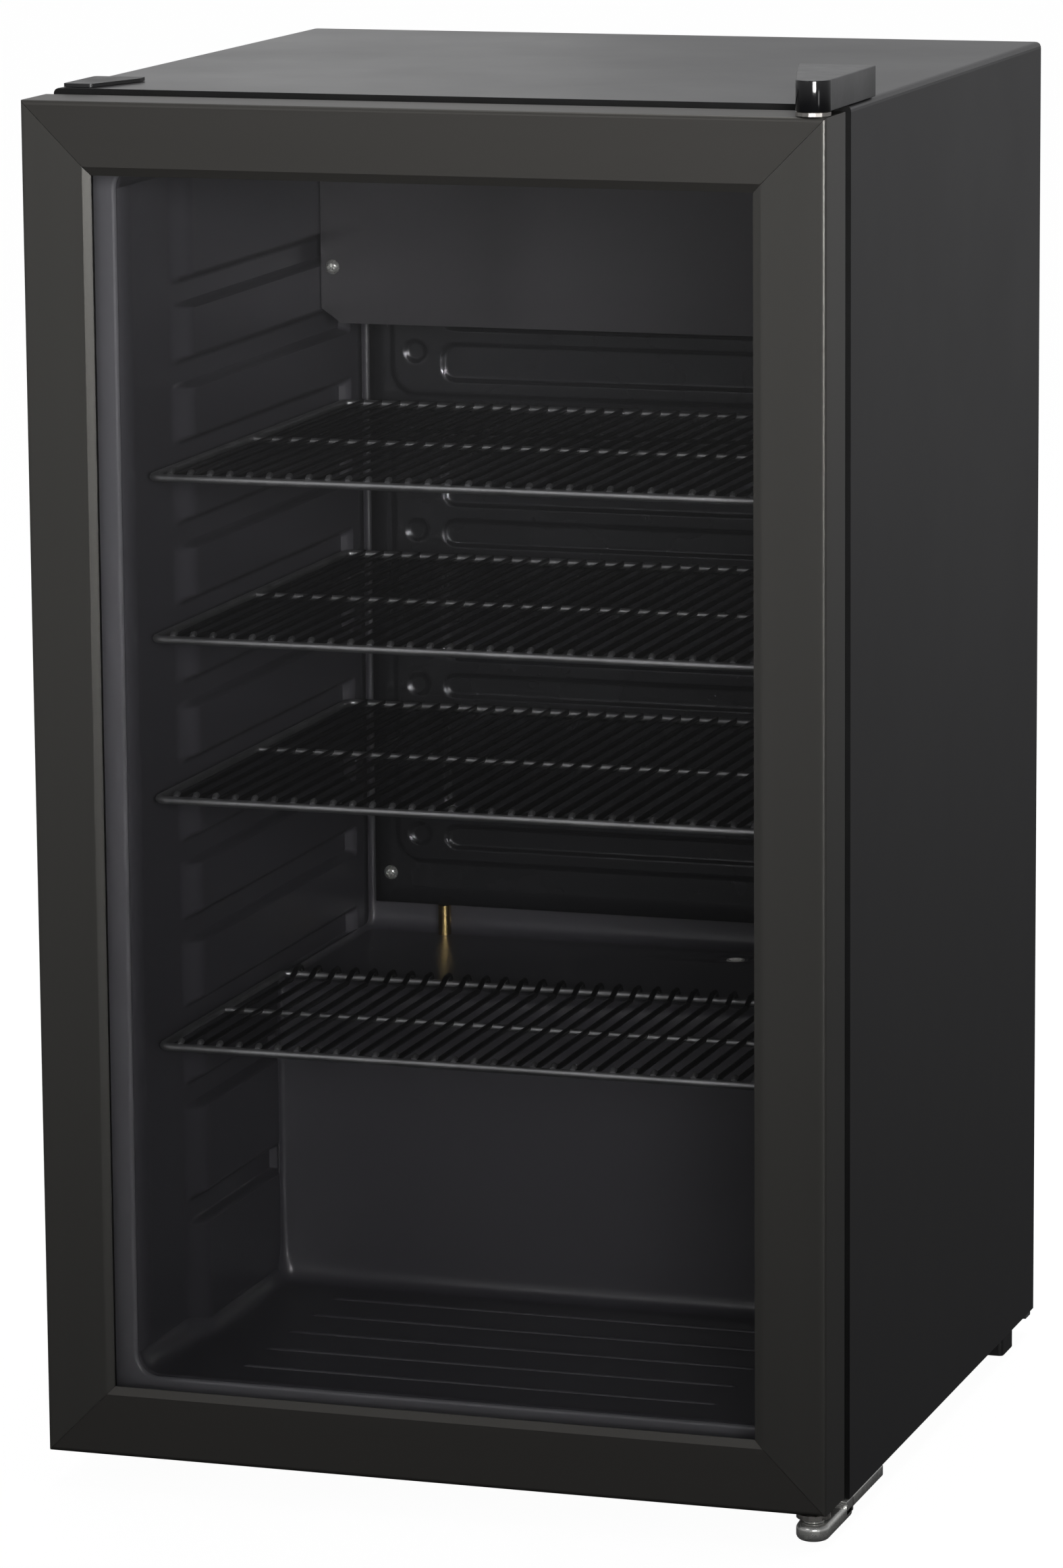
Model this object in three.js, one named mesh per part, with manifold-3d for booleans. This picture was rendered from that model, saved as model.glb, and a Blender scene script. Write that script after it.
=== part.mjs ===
// Under-counter glass door merchandiser: a refrigerated cabinet with one glass door, four wire
// shelves and a rear compressor bay. Millimetres, +Z up, the door faces -Y.
// The origin is on the floor, in the middle of the object's width and depth.
import * as THREE from 'three';
import { mergeVertices } from 'three/addons/utils/BufferGeometryUtils.js';
import Module from 'manifold-3d';

const wasm = await Module();
wasm.setup();

// ---------------------------------------------------------------- driving dimensions
const WIDTH = 480;
const DEPTH = 512;
const HEIGHT = 845;
const GAP = 0.3;                 // clearance between pieces that rest on each other
const SHEET = 1;                 // steel sheet thickness
const CORNER_RADIUS = 4;         // long top edges of the cabinet

const fromDoor = (depth) => depth - DEPTH / 2;   // Y of a plane this far behind the door's face

const CABINET_BOTTOM = 17;
const CABINET_TOP = 827;
const CABINET_FRONT = fromDoor(52);
const CABINET_BACK = fromDoor(492);
const WRAP_FLANGE = 16;          // width of the wrapper's front return

const DOOR_BOTTOM = 20.7;
const DOOR_HEIGHT = 803.8;
const DOOR_DEPTH = 42;
const RAIL_WIDTH = 42.5;           // width of each mitred door profile
const HINGE_X = 230;
const HINGE_Y = fromDoor(10);

const LINER_WALL = 2;
const LINER_HALF = 203;          // half width at the mouth and in the grooves
const PAD_HALF = 196;            // half width between the pads that form the grooves
const LINER_FLOOR = 56;
const LINER_CEILING = 782;
const LINER_BACK = fromDoor(460);
const HUMP_FRONT = fromDoor(287);
const HUMP_TOP = 248;
const PAD_START = fromDoor(134);
const PAD_FULL = fromDoor(160);
const GROOVE_END = fromDoor(433);
const GROOVE_HEIGHT = 16;
const LEVEL_PITCH = 48.4;
const LEVEL_BASE = 302.3;        // ledge height of the lowest full-depth level
const FULL_LEVELS = 9;
const SHORT_LEVELS = [HUMP_TOP + 0.4, 200, 127];

const BAY_FRONT = fromDoor(322);
const BAY_TOP = 214;

const SHELF_FRONT = fromDoor(84);
const FULL_SHELF_DEPTH = 344;
const SHORT_SHELF_DEPTH = 217;
const SHELF_HALF = 200;
const FRAME_WIRE = 5;
const GRID_WIRE = 2.6;
const GRID_COUNT = 31;
const GRID_PITCH = 12.33;

const ledge = (index) => LEVEL_BASE + index * LEVEL_PITCH;
const HALF_DOOR = WIDTH / 2;

// Feet and hinges.
const STUD_RADIUS = 4;
const FOOT_Y = fromDoor(94);
const FOOT_PLACES = [[-205, FOOT_Y], [205, FOOT_Y]];
const PIN_RADIUS = 4;
const PIN_CLEARANCE = 0.05;
const NOSE_RADIUS = 10;
const COVER_BOTTOM = CABINET_TOP + GAP;
const RING_SIDES = 16;

// Refrigeration circuit.
const SUCTION_X = -142;
const SUCTION_Y = fromDoor(451.2);
const SUCTION_RADIUS = 4.4;
const DRAIN_X = 60;
const DRAIN_Y = fromDoor(430);
const DRAIN_RADIUS = 6;
const GLAND_X = -190;
const GLAND_Z = 240;
const GLAND_RADIUS = 8;
const CORD_WAY_RADIUS = 4.5;
const COMPRESSOR_X = 15;
const COMPRESSOR_Y = fromDoor(404);
const BASE_TOP = CABINET_BOTTOM + 1.5;
const TUBE = 4.8;
const COIL_PASSES = 9;
const COIL_PITCH = 64;
const COIL_HALF = 190;
const COIL_LOW = 250;
const COIL_HIGH = COIL_LOW + (COIL_PASSES - 1) * COIL_PITCH;
const DRIER_X = -195;
const DRIER_Y = fromDoor(452);
const DRIER_BOTTOM = 50;
const DRIER_LENGTH = 110;
const CONDENSER_Y = DEPTH / 2 - TUBE / 2;
const EVAPORATOR_FRONT = fromDoor(450.4);
const EVAPORATOR_HALF = 188.5;
const EVAPORATOR_BOTTOM = 267.5;
const EVAPORATOR_TOP = 772;

// Control box on the liner's right wall.
const BOX_X = [166, PAD_HALF - GAP];
const BOX_Y = [fromDoor(168), fromDoor(272)];
const BOX_Z = [722, 776];
const KNOB_SHAFT = 3;
const KNOB_PLACE = [BOX_X[0] - GAP, fromDoor(196), 750];
const SWITCH_PLACE = [BOX_X[0], fromDoor(226), 750];

// ---------------------------------------------------------------- geometry helpers
function toSolid(geometry) {
  const bare = geometry.index ? geometry : geometry.clone();
  bare.deleteAttribute('normal');
  bare.deleteAttribute('uv');
  const merged = mergeVertices(bare, 1e-4);
  return new wasm.Manifold(new wasm.Mesh({
    numProp: 3,
    vertProperties: new Float32Array(merged.attributes.position.array),
    triVerts: new Uint32Array(merged.index.array),
  }));
}

function toGeometry(manifold) {
  const mesh = manifold.getMesh();
  const geometry = new THREE.BufferGeometry();
  geometry.setAttribute('position', new THREE.BufferAttribute(mesh.vertProperties, 3));
  geometry.setIndex(new THREE.BufferAttribute(mesh.triVerts, 1));
  geometry.computeVertexNormals();
  return geometry;
}

const join = (...pieces) => toGeometry(pieces.map(toSolid).reduce((a, b) => a.add(b)));
const cut = (body, ...tools) => toGeometry(
  tools.map(toSolid).reduce((a, b) => a.subtract(b), toSolid(body)));
const common = (a, b) => toGeometry(toSolid(a).intersect(toSolid(b)));

function box(x, y, z) {
  const geometry = new THREE.BoxGeometry(x[1] - x[0], y[1] - y[0], z[1] - z[0]);
  return geometry.translate((x[0] + x[1]) / 2, (y[0] + y[1]) / 2, (z[0] + z[1]) / 2);
}

function cylinder(from, to, radius, sides = 16) {
  const start = new THREE.Vector3(...from);
  const along = new THREE.Vector3(...to).sub(start);
  const geometry = new THREE.CylinderGeometry(radius, radius, along.length(), sides);
  const turn = new THREE.Quaternion().setFromUnitVectors(
    new THREE.Vector3(0, 1, 0), along.clone().normalize());
  const middle = start.addScaledVector(along, 0.5);
  return geometry.applyQuaternion(turn).translate(middle.x, middle.y, middle.z);
}

const extrude = (shape, depth) => new THREE.ExtrudeGeometry(
  shape, { depth, bevelEnabled: false, curveSegments: 5 });

// A section drawn in (Y, Z) and carried along X.
function extrudeX(shape, x0, x1) {
  const axes = new THREE.Matrix4().makeBasis(
    new THREE.Vector3(0, 1, 0), new THREE.Vector3(0, 0, 1), new THREE.Vector3(1, 0, 0));
  return extrude(shape, x1 - x0).applyMatrix4(axes).translate(x0, 0, 0);
}

// A section drawn in (X, Z) and carried along Y.
function extrudeY(shape, y0, y1) {
  return extrude(shape, y1 - y0).rotateX(Math.PI / 2).translate(0, y1, 0);
}

// A section drawn in (X, Y) and carried along Z.
const extrudeZ = (shape, z0, z1) => extrude(shape, z1 - z0).translate(0, 0, z0);

function outline(points) {
  return new THREE.Shape(points.map(([a, b]) => new THREE.Vector2(a, b)));
}

// A closed outline whose corners are rounded: each point is [a, b, radius].
function rounded(points) {
  const shape = new THREE.Shape();
  const count = points.length;
  points.forEach(([a, b, radius = 0], i) => {
    const here = new THREE.Vector2(a, b);
    const toward = (k) => new THREE.Vector2(points[k][0], points[k][1]).sub(here).normalize();
    const before = toward((i + count - 1) % count);
    const after = toward((i + 1) % count);
    const reach = radius / Math.tan(before.angleTo(after) / 2);
    const enter = here.clone().addScaledVector(before, reach);
    const leave = here.clone().addScaledVector(after, reach);
    if (i === 0) shape.moveTo(enter.x, enter.y);
    else shape.lineTo(enter.x, enter.y);
    if (radius > 0) shape.quadraticCurveTo(here.x, here.y, leave.x, leave.y);
  });
  shape.closePath();
  return shape;
}

function roundRect(x0, x1, y0, y1, radius) {
  return rounded([[x0, y0, radius], [x1, y0, radius], [x1, y1, radius], [x0, y1, radius]]);
}

function ringShape(x0, x1, y0, y1, band) {
  const shape = outline([[x0, y0], [x1, y0], [x1, y1], [x0, y1]]);
  shape.holes.push(outline([[x0 + band, y0 + band], [x0 + band, y1 - band],
    [x1 - band, y1 - band], [x1 - band, y0 + band]]));
  return shape;
}

// A round pipe along a smooth line through the given points.
function pipe(points, radius, sides, steps) {
  const section = new THREE.Shape();
  for (let i = 0; i < sides; i += 1) {
    const angle = (i / sides) * 2 * Math.PI;
    const x = radius * Math.cos(angle);
    const y = radius * Math.sin(angle);
    if (i === 0) section.moveTo(x, y);
    else section.lineTo(x, y);
  }
  section.closePath();
  const path = new THREE.CatmullRomCurve3(points.map((p) => new THREE.Vector3(...p)), false, 'centripetal');
  return new THREE.ExtrudeGeometry(section, { steps, bevelEnabled: false, extrudePath: path });
}

function lathe(profile, sides) {
  const points = profile.map(([radius, height]) => new THREE.Vector2(radius, height));
  return new THREE.LatheGeometry(points, sides).rotateX(Math.PI / 2);
}

function material(color, roughness, metalness = 0) {
  return new THREE.MeshStandardMaterial({ color, roughness, metalness });
}

const FINISH = {
  body: () => material(0x3a393c, 0.45, 0.3),
  doorSteel: () => material(0x3a3835, 0.35, 0.6),
  liner: () => material(0x2b2b2e, 0.5),
  galvanised: () => material(0x9a9c9e, 0.4, 0.8),
  darkSheet: () => material(0x3c3b3d, 0.25, 0.7),
  evaporator: () => material(0x242427, 0.45, 0.5),
  black: () => material(0x121213, 0.4),
  rubber: () => material(0x1a1a1a, 0.8),
  foam: () => material(0xd8c27a, 0.9),
  glass: () => material(0x8b9092, 0.05),
  chrome: () => material(0xc8c8c6, 0.15, 1),
  copper: () => material(0xb4693c, 0.35, 1),
  brass: () => material(0xa98a4a, 0.3, 1),
  whitePlastic: () => material(0xd8d8d4, 0.5),
  lens: () => material(0xe8ecf0, 0.2),
};

const model = new THREE.Group();

function place(parent, name, geometry, finish, position = [0, 0, 0]) {
  const mesh = new THREE.Mesh(geometry, finish);
  mesh.name = name;
  mesh.position.set(...position);
  parent.add(mesh);
  return mesh;
}

// ---------------------------------------------------------------- cabinet shell
function wrapperGeometry() {
  const half = WIDTH / 2;
  const channel = (inset, radius) => rounded([
    [-half + inset, CABINET_BOTTOM], [half - inset, CABINET_BOTTOM],
    [half - inset, CABINET_TOP - inset, radius], [-half + inset, CABINET_TOP - inset, radius]]);
  const solidBlock = extrudeY(channel(0, CORNER_RADIUS), CABINET_FRONT, CABINET_BACK);
  const reach = half - SHEET;
  const hollow = extrudeY(
    rounded([[-reach, CABINET_BOTTOM - 5], [reach, CABINET_BOTTOM - 5],
      [reach, CABINET_TOP - SHEET, 3], [-reach, CABINET_TOP - SHEET, 3]]),
    CABINET_FRONT + SHEET, CABINET_BACK + 5);
  const mouth = half - WRAP_FLANGE;
  const opening = box([-mouth, mouth], [CABINET_FRONT - 5, CABINET_FRONT + 5],
    [CABINET_BOTTOM - 5, CABINET_TOP - WRAP_FLANGE]);
  return cut(solidBlock, hollow, opening);
}

// The way that the power cord takes from behind its gland down into the compressor bay.
function cordWay(radius) {
  const y = CABINET_BACK - 7;
  return cylinder([GLAND_X, y, BAY_TOP - 8], [GLAND_X, y, GLAND_Z], radius, 10);
}

function bottomDeckGeometry() {
  const lip = 28;
  const rear = CABINET_BACK - SHEET - GAP;
  const section = outline([
    [CABINET_FRONT, CABINET_BOTTOM], [BAY_FRONT, CABINET_BOTTOM], [BAY_FRONT, BAY_TOP - SHEET],
    [rear, BAY_TOP - SHEET], [rear, BAY_TOP], [BAY_FRONT - SHEET, BAY_TOP],
    [BAY_FRONT - SHEET, CABINET_BOTTOM + SHEET], [CABINET_FRONT + SHEET, CABINET_BOTTOM + SHEET],
    [CABINET_FRONT + SHEET, CABINET_BOTTOM + lip], [CABINET_FRONT, CABINET_BOTTOM + lip]]);
  const half = WIDTH / 2 - WRAP_FLANGE - GAP;
  const wide = WIDTH / 2 - SHEET - GAP;
  const front = extrudeX(section, -half, half);
  const behind = extrudeX(section, -wide, wide);
  const clip = box([-wide - 5, wide + 5], [CABINET_FRONT + 2, CABINET_BACK], [0, 400]);
  const holes = [
    ...FOOT_PLACES.map(([x, y]) => cylinder([x, y, 0], [x, y, 60], STUD_RADIUS + GAP, 10)),
    cylinder([SUCTION_X, SUCTION_Y, 150], [SUCTION_X, SUCTION_Y, 260], SUCTION_RADIUS + GAP, 10),
    cylinder([DRAIN_X, DRAIN_Y, 150], [DRAIN_X, DRAIN_Y, 260], DRAIN_RADIUS + GAP, 10),
    cordWay(CORD_WAY_RADIUS),
  ];
  return cut(join(front, common(behind, clip)), ...holes);
}

// The tub's inner outline in (Y, Z), grown outwards by a wall thickness.
function tubSection(grow, front) {
  return rounded([
    [front, LINER_FLOOR - grow], [HUMP_FRONT + grow, LINER_FLOOR - grow, 12 + grow],
    [HUMP_FRONT + grow, HUMP_TOP - grow, 12 - grow], [LINER_BACK + grow, HUMP_TOP - grow, 8 + grow],
    [LINER_BACK + grow, LINER_CEILING + grow, 12 + grow], [front, LINER_CEILING + grow]]);
}

function linerGeometry() {
  const outerHalf = LINER_HALF + LINER_WALL;
  const shell = extrudeX(tubSection(LINER_WALL, CABINET_FRONT), -outerHalf, outerHalf);
  const flangeHalf = WIDTH / 2 - WRAP_FLANGE - GAP;
  const flange = box([-flangeHalf, flangeHalf], [CABINET_FRONT, CABINET_FRONT + LINER_WALL],
    [CABINET_BOTTOM + 28 + GAP, CABINET_TOP - WRAP_FLANGE - GAP]);
  const cavity = extrudeX(tubSection(0, CABINET_FRONT - 5), -PAD_HALF, PAD_HALF);
  const mouth = common(
    extrudeY(roundRect(-LINER_HALF, LINER_HALF, LINER_FLOOR, LINER_CEILING, 14),
      CABINET_FRONT - 5, PAD_FULL),
    extrudeZ(outline([[-LINER_HALF, CABINET_FRONT - 6], [LINER_HALF, CABINET_FRONT - 6],
      [LINER_HALF, PAD_START], [PAD_HALF, PAD_FULL - 0.5], [-PAD_HALF, PAD_FULL - 0.5],
      [-LINER_HALF, PAD_START]]), 0, HEIGHT));
  const grooves = [];
  const groove = (low, end) => grooves.push(
    box([-LINER_HALF, LINER_HALF], [PAD_START - 1, end], [low, low + GROOVE_HEIGHT]));
  for (let i = 0; i < FULL_LEVELS; i += 1) groove(ledge(i), GROOVE_END);
  groove(SHORT_LEVELS[0], GROOVE_END);
  groove(SHORT_LEVELS[1], HUMP_FRONT - 0.5);
  groove(SHORT_LEVELS[2], HUMP_FRONT - 0.5);
  const ribs = [0, 1, 2, 3, 4].map((i) => {
    const y = fromDoor(90 + 40 * i);
    return box([-150, 150], [y - 1.5, y + 1.5], [LINER_FLOOR - 1, LINER_FLOOR + 1.2]);
  });
  const holes = [
    cylinder([SUCTION_X, SUCTION_Y, 200], [SUCTION_X, SUCTION_Y, 260], SUCTION_RADIUS + GAP, 10),
    cylinder([DRAIN_X, DRAIN_Y, 200], [DRAIN_X, DRAIN_Y, 260], DRAIN_RADIUS + GAP, 10),
  ];
  return cut(join(cut(join(shell, flange), cavity, mouth, ...grooves), ...ribs), ...holes);
}

// The one-piece tub, divided at the pads into its middle and its two side walls.
function linerParts(liner) {
  const far = WIDTH;
  const slab = (x0, x1) => common(liner, box([x0, x1], [-far, far], [-far, HEIGHT + far]));
  return [
    ['inner_liner', slab(-PAD_HALF + GAP, PAD_HALF - GAP)],
    ['inner_liner_left', slab(-far, -PAD_HALF)],
    ['inner_liner_right', slab(PAD_HALF, far)],
  ];
}

function foamGeometry() {
  const half = WIDTH / 2 - SHEET - GAP;
  const front = CABINET_FRONT + LINER_WALL + GAP;
  const low = CABINET_BOTTOM + SHEET + GAP;
  const top = CABINET_TOP - SHEET - GAP;
  const block = extrudeY(rounded([[-half, low], [half, low], [half, top, CORNER_RADIUS],
    [-half, top, CORNER_RADIUS]]), front, CABINET_BACK - SHEET - GAP);
  const tubHalf = LINER_HALF + LINER_WALL + GAP;
  const tub = extrudeX(tubSection(LINER_WALL + GAP, front - 5), -tubHalf, tubHalf);
  const bay = box([-half - 5, half + 5], [BAY_FRONT - SHEET - GAP, CABINET_BACK + 5],
    [0, BAY_TOP + GAP]);
  const pockets = FOOT_PLACES.map(([x, y]) => cylinder([x, y, 0], [x, y, 36], STUD_RADIUS + 2, 10));
  const bores = [
    cylinder([SUCTION_X, SUCTION_Y, 200], [SUCTION_X, SUCTION_Y, 260], SUCTION_RADIUS + 1, 10),
    cylinder([DRAIN_X, DRAIN_Y, 200], [DRAIN_X, DRAIN_Y, 260], DRAIN_RADIUS + 1, 10),
    cylinder([GLAND_X, CABINET_BACK - 8, GLAND_Z], [GLAND_X, CABINET_BACK + 5, GLAND_Z],
      GLAND_RADIUS + 2, 12),
    cordWay(CORD_WAY_RADIUS + 1),
  ];
  return cut(block, tub, bay, ...pockets, ...bores);
}

function backPanelGeometry() {
  const half = WIDTH / 2 - SHEET - GAP;
  const top = CABINET_TOP - SHEET - GAP;
  const panel = extrudeY(rounded([[-half, BAY_TOP + GAP - SHEET], [half, BAY_TOP + GAP - SHEET],
    [half, top, CORNER_RADIUS], [-half, top, CORNER_RADIUS]]), CABINET_BACK - SHEET, CABINET_BACK);
  const hole = cylinder([GLAND_X, CABINET_BACK - 5, GLAND_Z], [GLAND_X, CABINET_BACK + 5, GLAND_Z],
    GLAND_RADIUS + GAP, 12);
  return cut(panel, hole);
}

// ---------------------------------------------------------------- feet
function levellingFootGeometry() {
  const profile = [[0, 0], [13, 0], [14, 1.5], [14, 6.5], [6.5, 9.2], [STUD_RADIUS, 9.2],
    [STUD_RADIUS, 32], [0, 32]];
  return lathe(profile, 12);
}

function rearFootGeometry(side) {
  const x = [side * 208, side * 234.5].sort((a, b) => a - b);
  return extrudeZ(roundRect(x[0], x[1], fromDoor(434), fromDoor(461), 3), 0, CABINET_BOTTOM - GAP);
}

// ---------------------------------------------------------------- hinges
function upperCoverOutline(inset) {
  const shape = new THREE.Shape();
  const radius = NOSE_RADIUS - inset;
  shape.absarc(HINGE_X, HINGE_Y, radius, Math.PI, 2 * Math.PI, false);
  shape.lineTo(HINGE_X + radius, fromDoor(105) - inset);
  shape.lineTo(195 + inset, fromDoor(105) - inset);
  shape.closePath();
  return shape;
}

function upperCoverGeometry() {
  const shell = extrudeZ(upperCoverOutline(0), COVER_BOTTOM, HEIGHT);
  const hollow = extrudeZ(upperCoverOutline(1.8), COVER_BOTTOM - 5, HEIGHT - 2);
  return cut(shell, hollow);
}

function upperBracketGeometry() {
  const plate = extrudeZ(upperCoverOutline(2.2), COVER_BOTTOM, COVER_BOTTOM + 3);
  const pin = cylinder([HINGE_X, HINGE_Y, DOOR_BOTTOM + DOOR_HEIGHT - 14],
    [HINGE_X, HINGE_Y, COVER_BOTTOM + 2], PIN_RADIUS);
  return join(plate, pin);
}

function ringGeometry(radius, hole, z0, z1) {
  const shape = new THREE.Shape();
  shape.absarc(0, 0, radius, 0, 2 * Math.PI, false);
  const inner = new THREE.Path();
  inner.absarc(0, 0, hole, 0, 2 * Math.PI, true);
  shape.holes.push(inner);
  const options = { depth: z1 - z0, bevelEnabled: false, curveSegments: RING_SIDES / 2 };
  return new THREE.ExtrudeGeometry(shape, options)
    .translate(HINGE_X, HINGE_Y, z0);
}

function lowerBracketGeometry() {
  const plate = extrudeZ(rounded([[186, fromDoor(56), 3], [240, fromDoor(56)],
    [240, fromDoor(128), 3], [186, fromDoor(128), 3]]), 10, CABINET_BOTTOM - GAP);
  const arm = new THREE.Shape();
  arm.absarc(HINGE_X, HINGE_Y, NOSE_RADIUS, Math.PI, 2 * Math.PI, false);
  arm.lineTo(240, fromDoor(58));
  arm.lineTo(214, fromDoor(58));
  arm.closePath();
  const armSide = rounded([[fromDoor(0), 4.6, 3], [fromDoor(58), 4.6, 2],
    [fromDoor(58), CABINET_BOTTOM - GAP],
    [fromDoor(44), CABINET_BOTTOM - GAP], [fromDoor(24), 14.6], [fromDoor(0), 14.6, 3]]);
  const armBody = common(extrudeZ(arm, 0, 30), extrudeX(armSide, 200, 245));
  const stud = cylinder([205, FOOT_Y, 0], [205, FOOT_Y, 30], STUD_RADIUS + GAP, 10);
  return cut(join(plate, armBody), stud);
}

function lowerPinGeometry() {
  return lathe([[0, 14.9], [6.4, 14.9], [6.4, 17.2], [PIN_RADIUS, 17.2], [PIN_RADIUS, 36], [0, 36]], 16)
    .translate(HINGE_X, HINGE_Y, 0);
}

function doorBushingGeometry(atTop) {
  // The hole's flats, not its corners, clear the pin.
  const inner = (PIN_RADIUS + PIN_CLEARANCE) / Math.cos(Math.PI / RING_SIDES);
  const top = DOOR_BOTTOM + DOOR_HEIGHT;
  if (atTop) {
    return join(ringGeometry(10, inner, top + GAP, top + 2.4), ringGeometry(6.2, inner, top - 14, top + 1));
  }
  return join(ringGeometry(10, inner, DOOR_BOTTOM - 3, DOOR_BOTTOM - GAP),
    ringGeometry(6.2, inner, DOOR_BOTTOM - 2, DOOR_BOTTOM + 15));
}

function hingeHoleCoverGeometry() {
  return extrudeZ(rounded([[-236, fromDoor(57), 2], [-218, fromDoor(57), 3], [-204, fromDoor(98), 2],
    [-204, fromDoor(107), 2], [-236, fromDoor(107), 3]]), COVER_BOTTOM, COVER_BOTTOM + 2);
}

// ---------------------------------------------------------------- refrigeration circuit
function evaporatorGeometry() {
  const plate = box([-EVAPORATOR_HALF, EVAPORATOR_HALF], [EVAPORATOR_FRONT, EVAPORATOR_FRONT + 1.6],
    [EVAPORATOR_BOTTOM, EVAPORATOR_TOP]);
  const channels = [];
  for (let z = 318; z < 760; z += 49) {
    channels.push(extrudeX(outline([[EVAPORATOR_FRONT + 0.5, z - 6], [EVAPORATOR_FRONT - 2.2, z - 3],
      [EVAPORATOR_FRONT - 2.2, z + 3], [EVAPORATOR_FRONT + 0.5, z + 6]]), -165, 165));
  }
  const holes = [-178, 178].map((x) => cylinder([x, EVAPORATOR_FRONT - 5, 287],
    [x, EVAPORATOR_FRONT + 5, 287], 2.6, 10));
  return cut(join(plate, ...channels), ...holes);
}

function faceScrewGeometry(shank) {
  const profile = [[0, 0], [2.2, 0], [2.2, shank], [4.6, shank], [4.2, shank + 1.6], [2.4, shank + 2.6],
    [0, shank + 2.8]];
  return lathe(profile, 8).rotateX(Math.PI / 2);
}

function evaporatorCoverGeometry() {
  const half = PAD_HALF - 0.6;
  const low = 652.3;
  const high = LINER_CEILING - 0.5;
  const front = fromDoor(380.5);
  const face = extrudeY(outline([[-half, low + 9], [-half + 13, low], [half - 13, low], [half, low + 9],
    [half, high], [-half, high]]), front, front + SHEET);
  const sides = [-1, 1].map((side) => box(
    [Math.min(side * half, side * (half - SHEET)), Math.max(side * half, side * (half - SHEET))],
    [front, front + 18], [low + 9, high]));
  const topFlange = box([-half, half], [front, front + 18], [high - SHEET, high]);
  const holes = [-187.5, 187.5].map((x) => cylinder([x, front - 5, 687.5], [x, front + 5, 687.5], 2.6, 10));
  return cut(join(face, ...sides, topFlange), ...holes);
}

function suctionTubeGeometry() {
  const straight = cylinder([SUCTION_X, SUCTION_Y, 190],
    [SUCTION_X, SUCTION_Y, EVAPORATOR_BOTTOM - GAP], SUCTION_RADIUS, 8);
  const bend = pipe([[SUCTION_X, SUCTION_Y, 196], [SUCTION_X, SUCTION_Y, 176],
    [SUCTION_X + 6, SUCTION_Y - 10, 150], [SUCTION_X + 20, SUCTION_Y - 30, 128],
    [SUCTION_X + 50, COMPRESSOR_Y + 4, 118], [COMPRESSOR_X - 63.4, COMPRESSOR_Y, 116]], 4, 8, 14);
  return join(straight, bend);
}

function compressorGeometry() {
  const shell = lathe([[0, 34], [50, 34], [60, 44], [63, 70], [63, 112], [60, 150], [46, 172], [20, 180],
    [0, 181]], 20).translate(COMPRESSOR_X, COMPRESSOR_Y, 0);
  const foot = box([COMPRESSOR_X - 92, COMPRESSOR_X + 92],
    [COMPRESSOR_Y - 50, COMPRESSOR_Y + 50], [31, 35]);
  return join(shell, foot);
}

function basePlateGeometry() {
  const rear = fromDoor(498);
  const lipFront = fromDoor(486);
  const half = 236.5;
  const section = outline([[BAY_FRONT + 2, CABINET_BOTTOM], [lipFront, CABINET_BOTTOM], [lipFront, 11],
    [rear, 11], [rear, 24], [rear - 1.5, 24], [rear - 1.5, BASE_TOP], [BAY_FRONT + 2, BASE_TOP]]);
  return extrudeX(section, -half, half);
}

// One tube that zigzags up the back, in at the top right and out at the bottom left.
function condenserGeometry() {
  const nearRadius = COIL_PITCH / 2 - TUBE / 2;
  const farRadius = COIL_PITCH / 2 + TUBE / 2;
  const lowerEdge = [];
  const upperEdge = [];
  const addBend = (edge, side, middle, radius) => {
    for (let k = 0; k <= 6; k += 1) {
      const angle = (k / 6) * Math.PI - Math.PI / 2;
      edge.push([side * (COIL_HALF + 0.5 * radius * Math.cos(angle)), middle + radius * Math.sin(angle)]);
    }
  };
  for (let i = 0; i < COIL_PASSES - 1; i += 1) {
    const middle = COIL_LOW + (i + 0.5) * COIL_PITCH;
    const side = i % 2 === 0 ? 1 : -1;
    addBend(lowerEdge, side, middle, side > 0 ? farRadius : nearRadius);
    addBend(upperEdge, side, middle, side > 0 ? nearRadius : farRadius);
  }
  const band = [[-COIL_HALF, COIL_LOW - TUBE / 2], ...lowerEdge,
    [COIL_HALF, COIL_HIGH - TUBE / 2], [COIL_HALF, COIL_HIGH + TUBE / 2],
    ...upperEdge.reverse(), [-COIL_HALF, COIL_LOW + TUBE / 2]];
  return extrudeY(outline(band), CONDENSER_Y - TUBE / 2, CONDENSER_Y + TUBE / 2);
}

function dischargePipeGeometry() {
  const riser = COIL_HALF + 24;
  return pipe([[COMPRESSOR_X + 63.6, COMPRESSOR_Y + 4, 140], [COMPRESSOR_X + 95, COMPRESSOR_Y + 10, 142],
    [170, fromDoor(440), 150], [206, fromDoor(475), 165], [riser, fromDoor(502), 190],
    [riser, CONDENSER_Y - 1.5, 215], [riser, CONDENSER_Y, 235], [riser, CONDENSER_Y, 260],
    [riser, CONDENSER_Y, 480], [riser, CONDENSER_Y, COIL_HIGH - 22],
    [riser - 5, CONDENSER_Y, COIL_HIGH - 4], [COIL_HALF + 8, CONDENSER_Y, COIL_HIGH],
    [COIL_HALF + GAP, CONDENSER_Y, COIL_HIGH]], 2.4, 6, 32);
}

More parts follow.
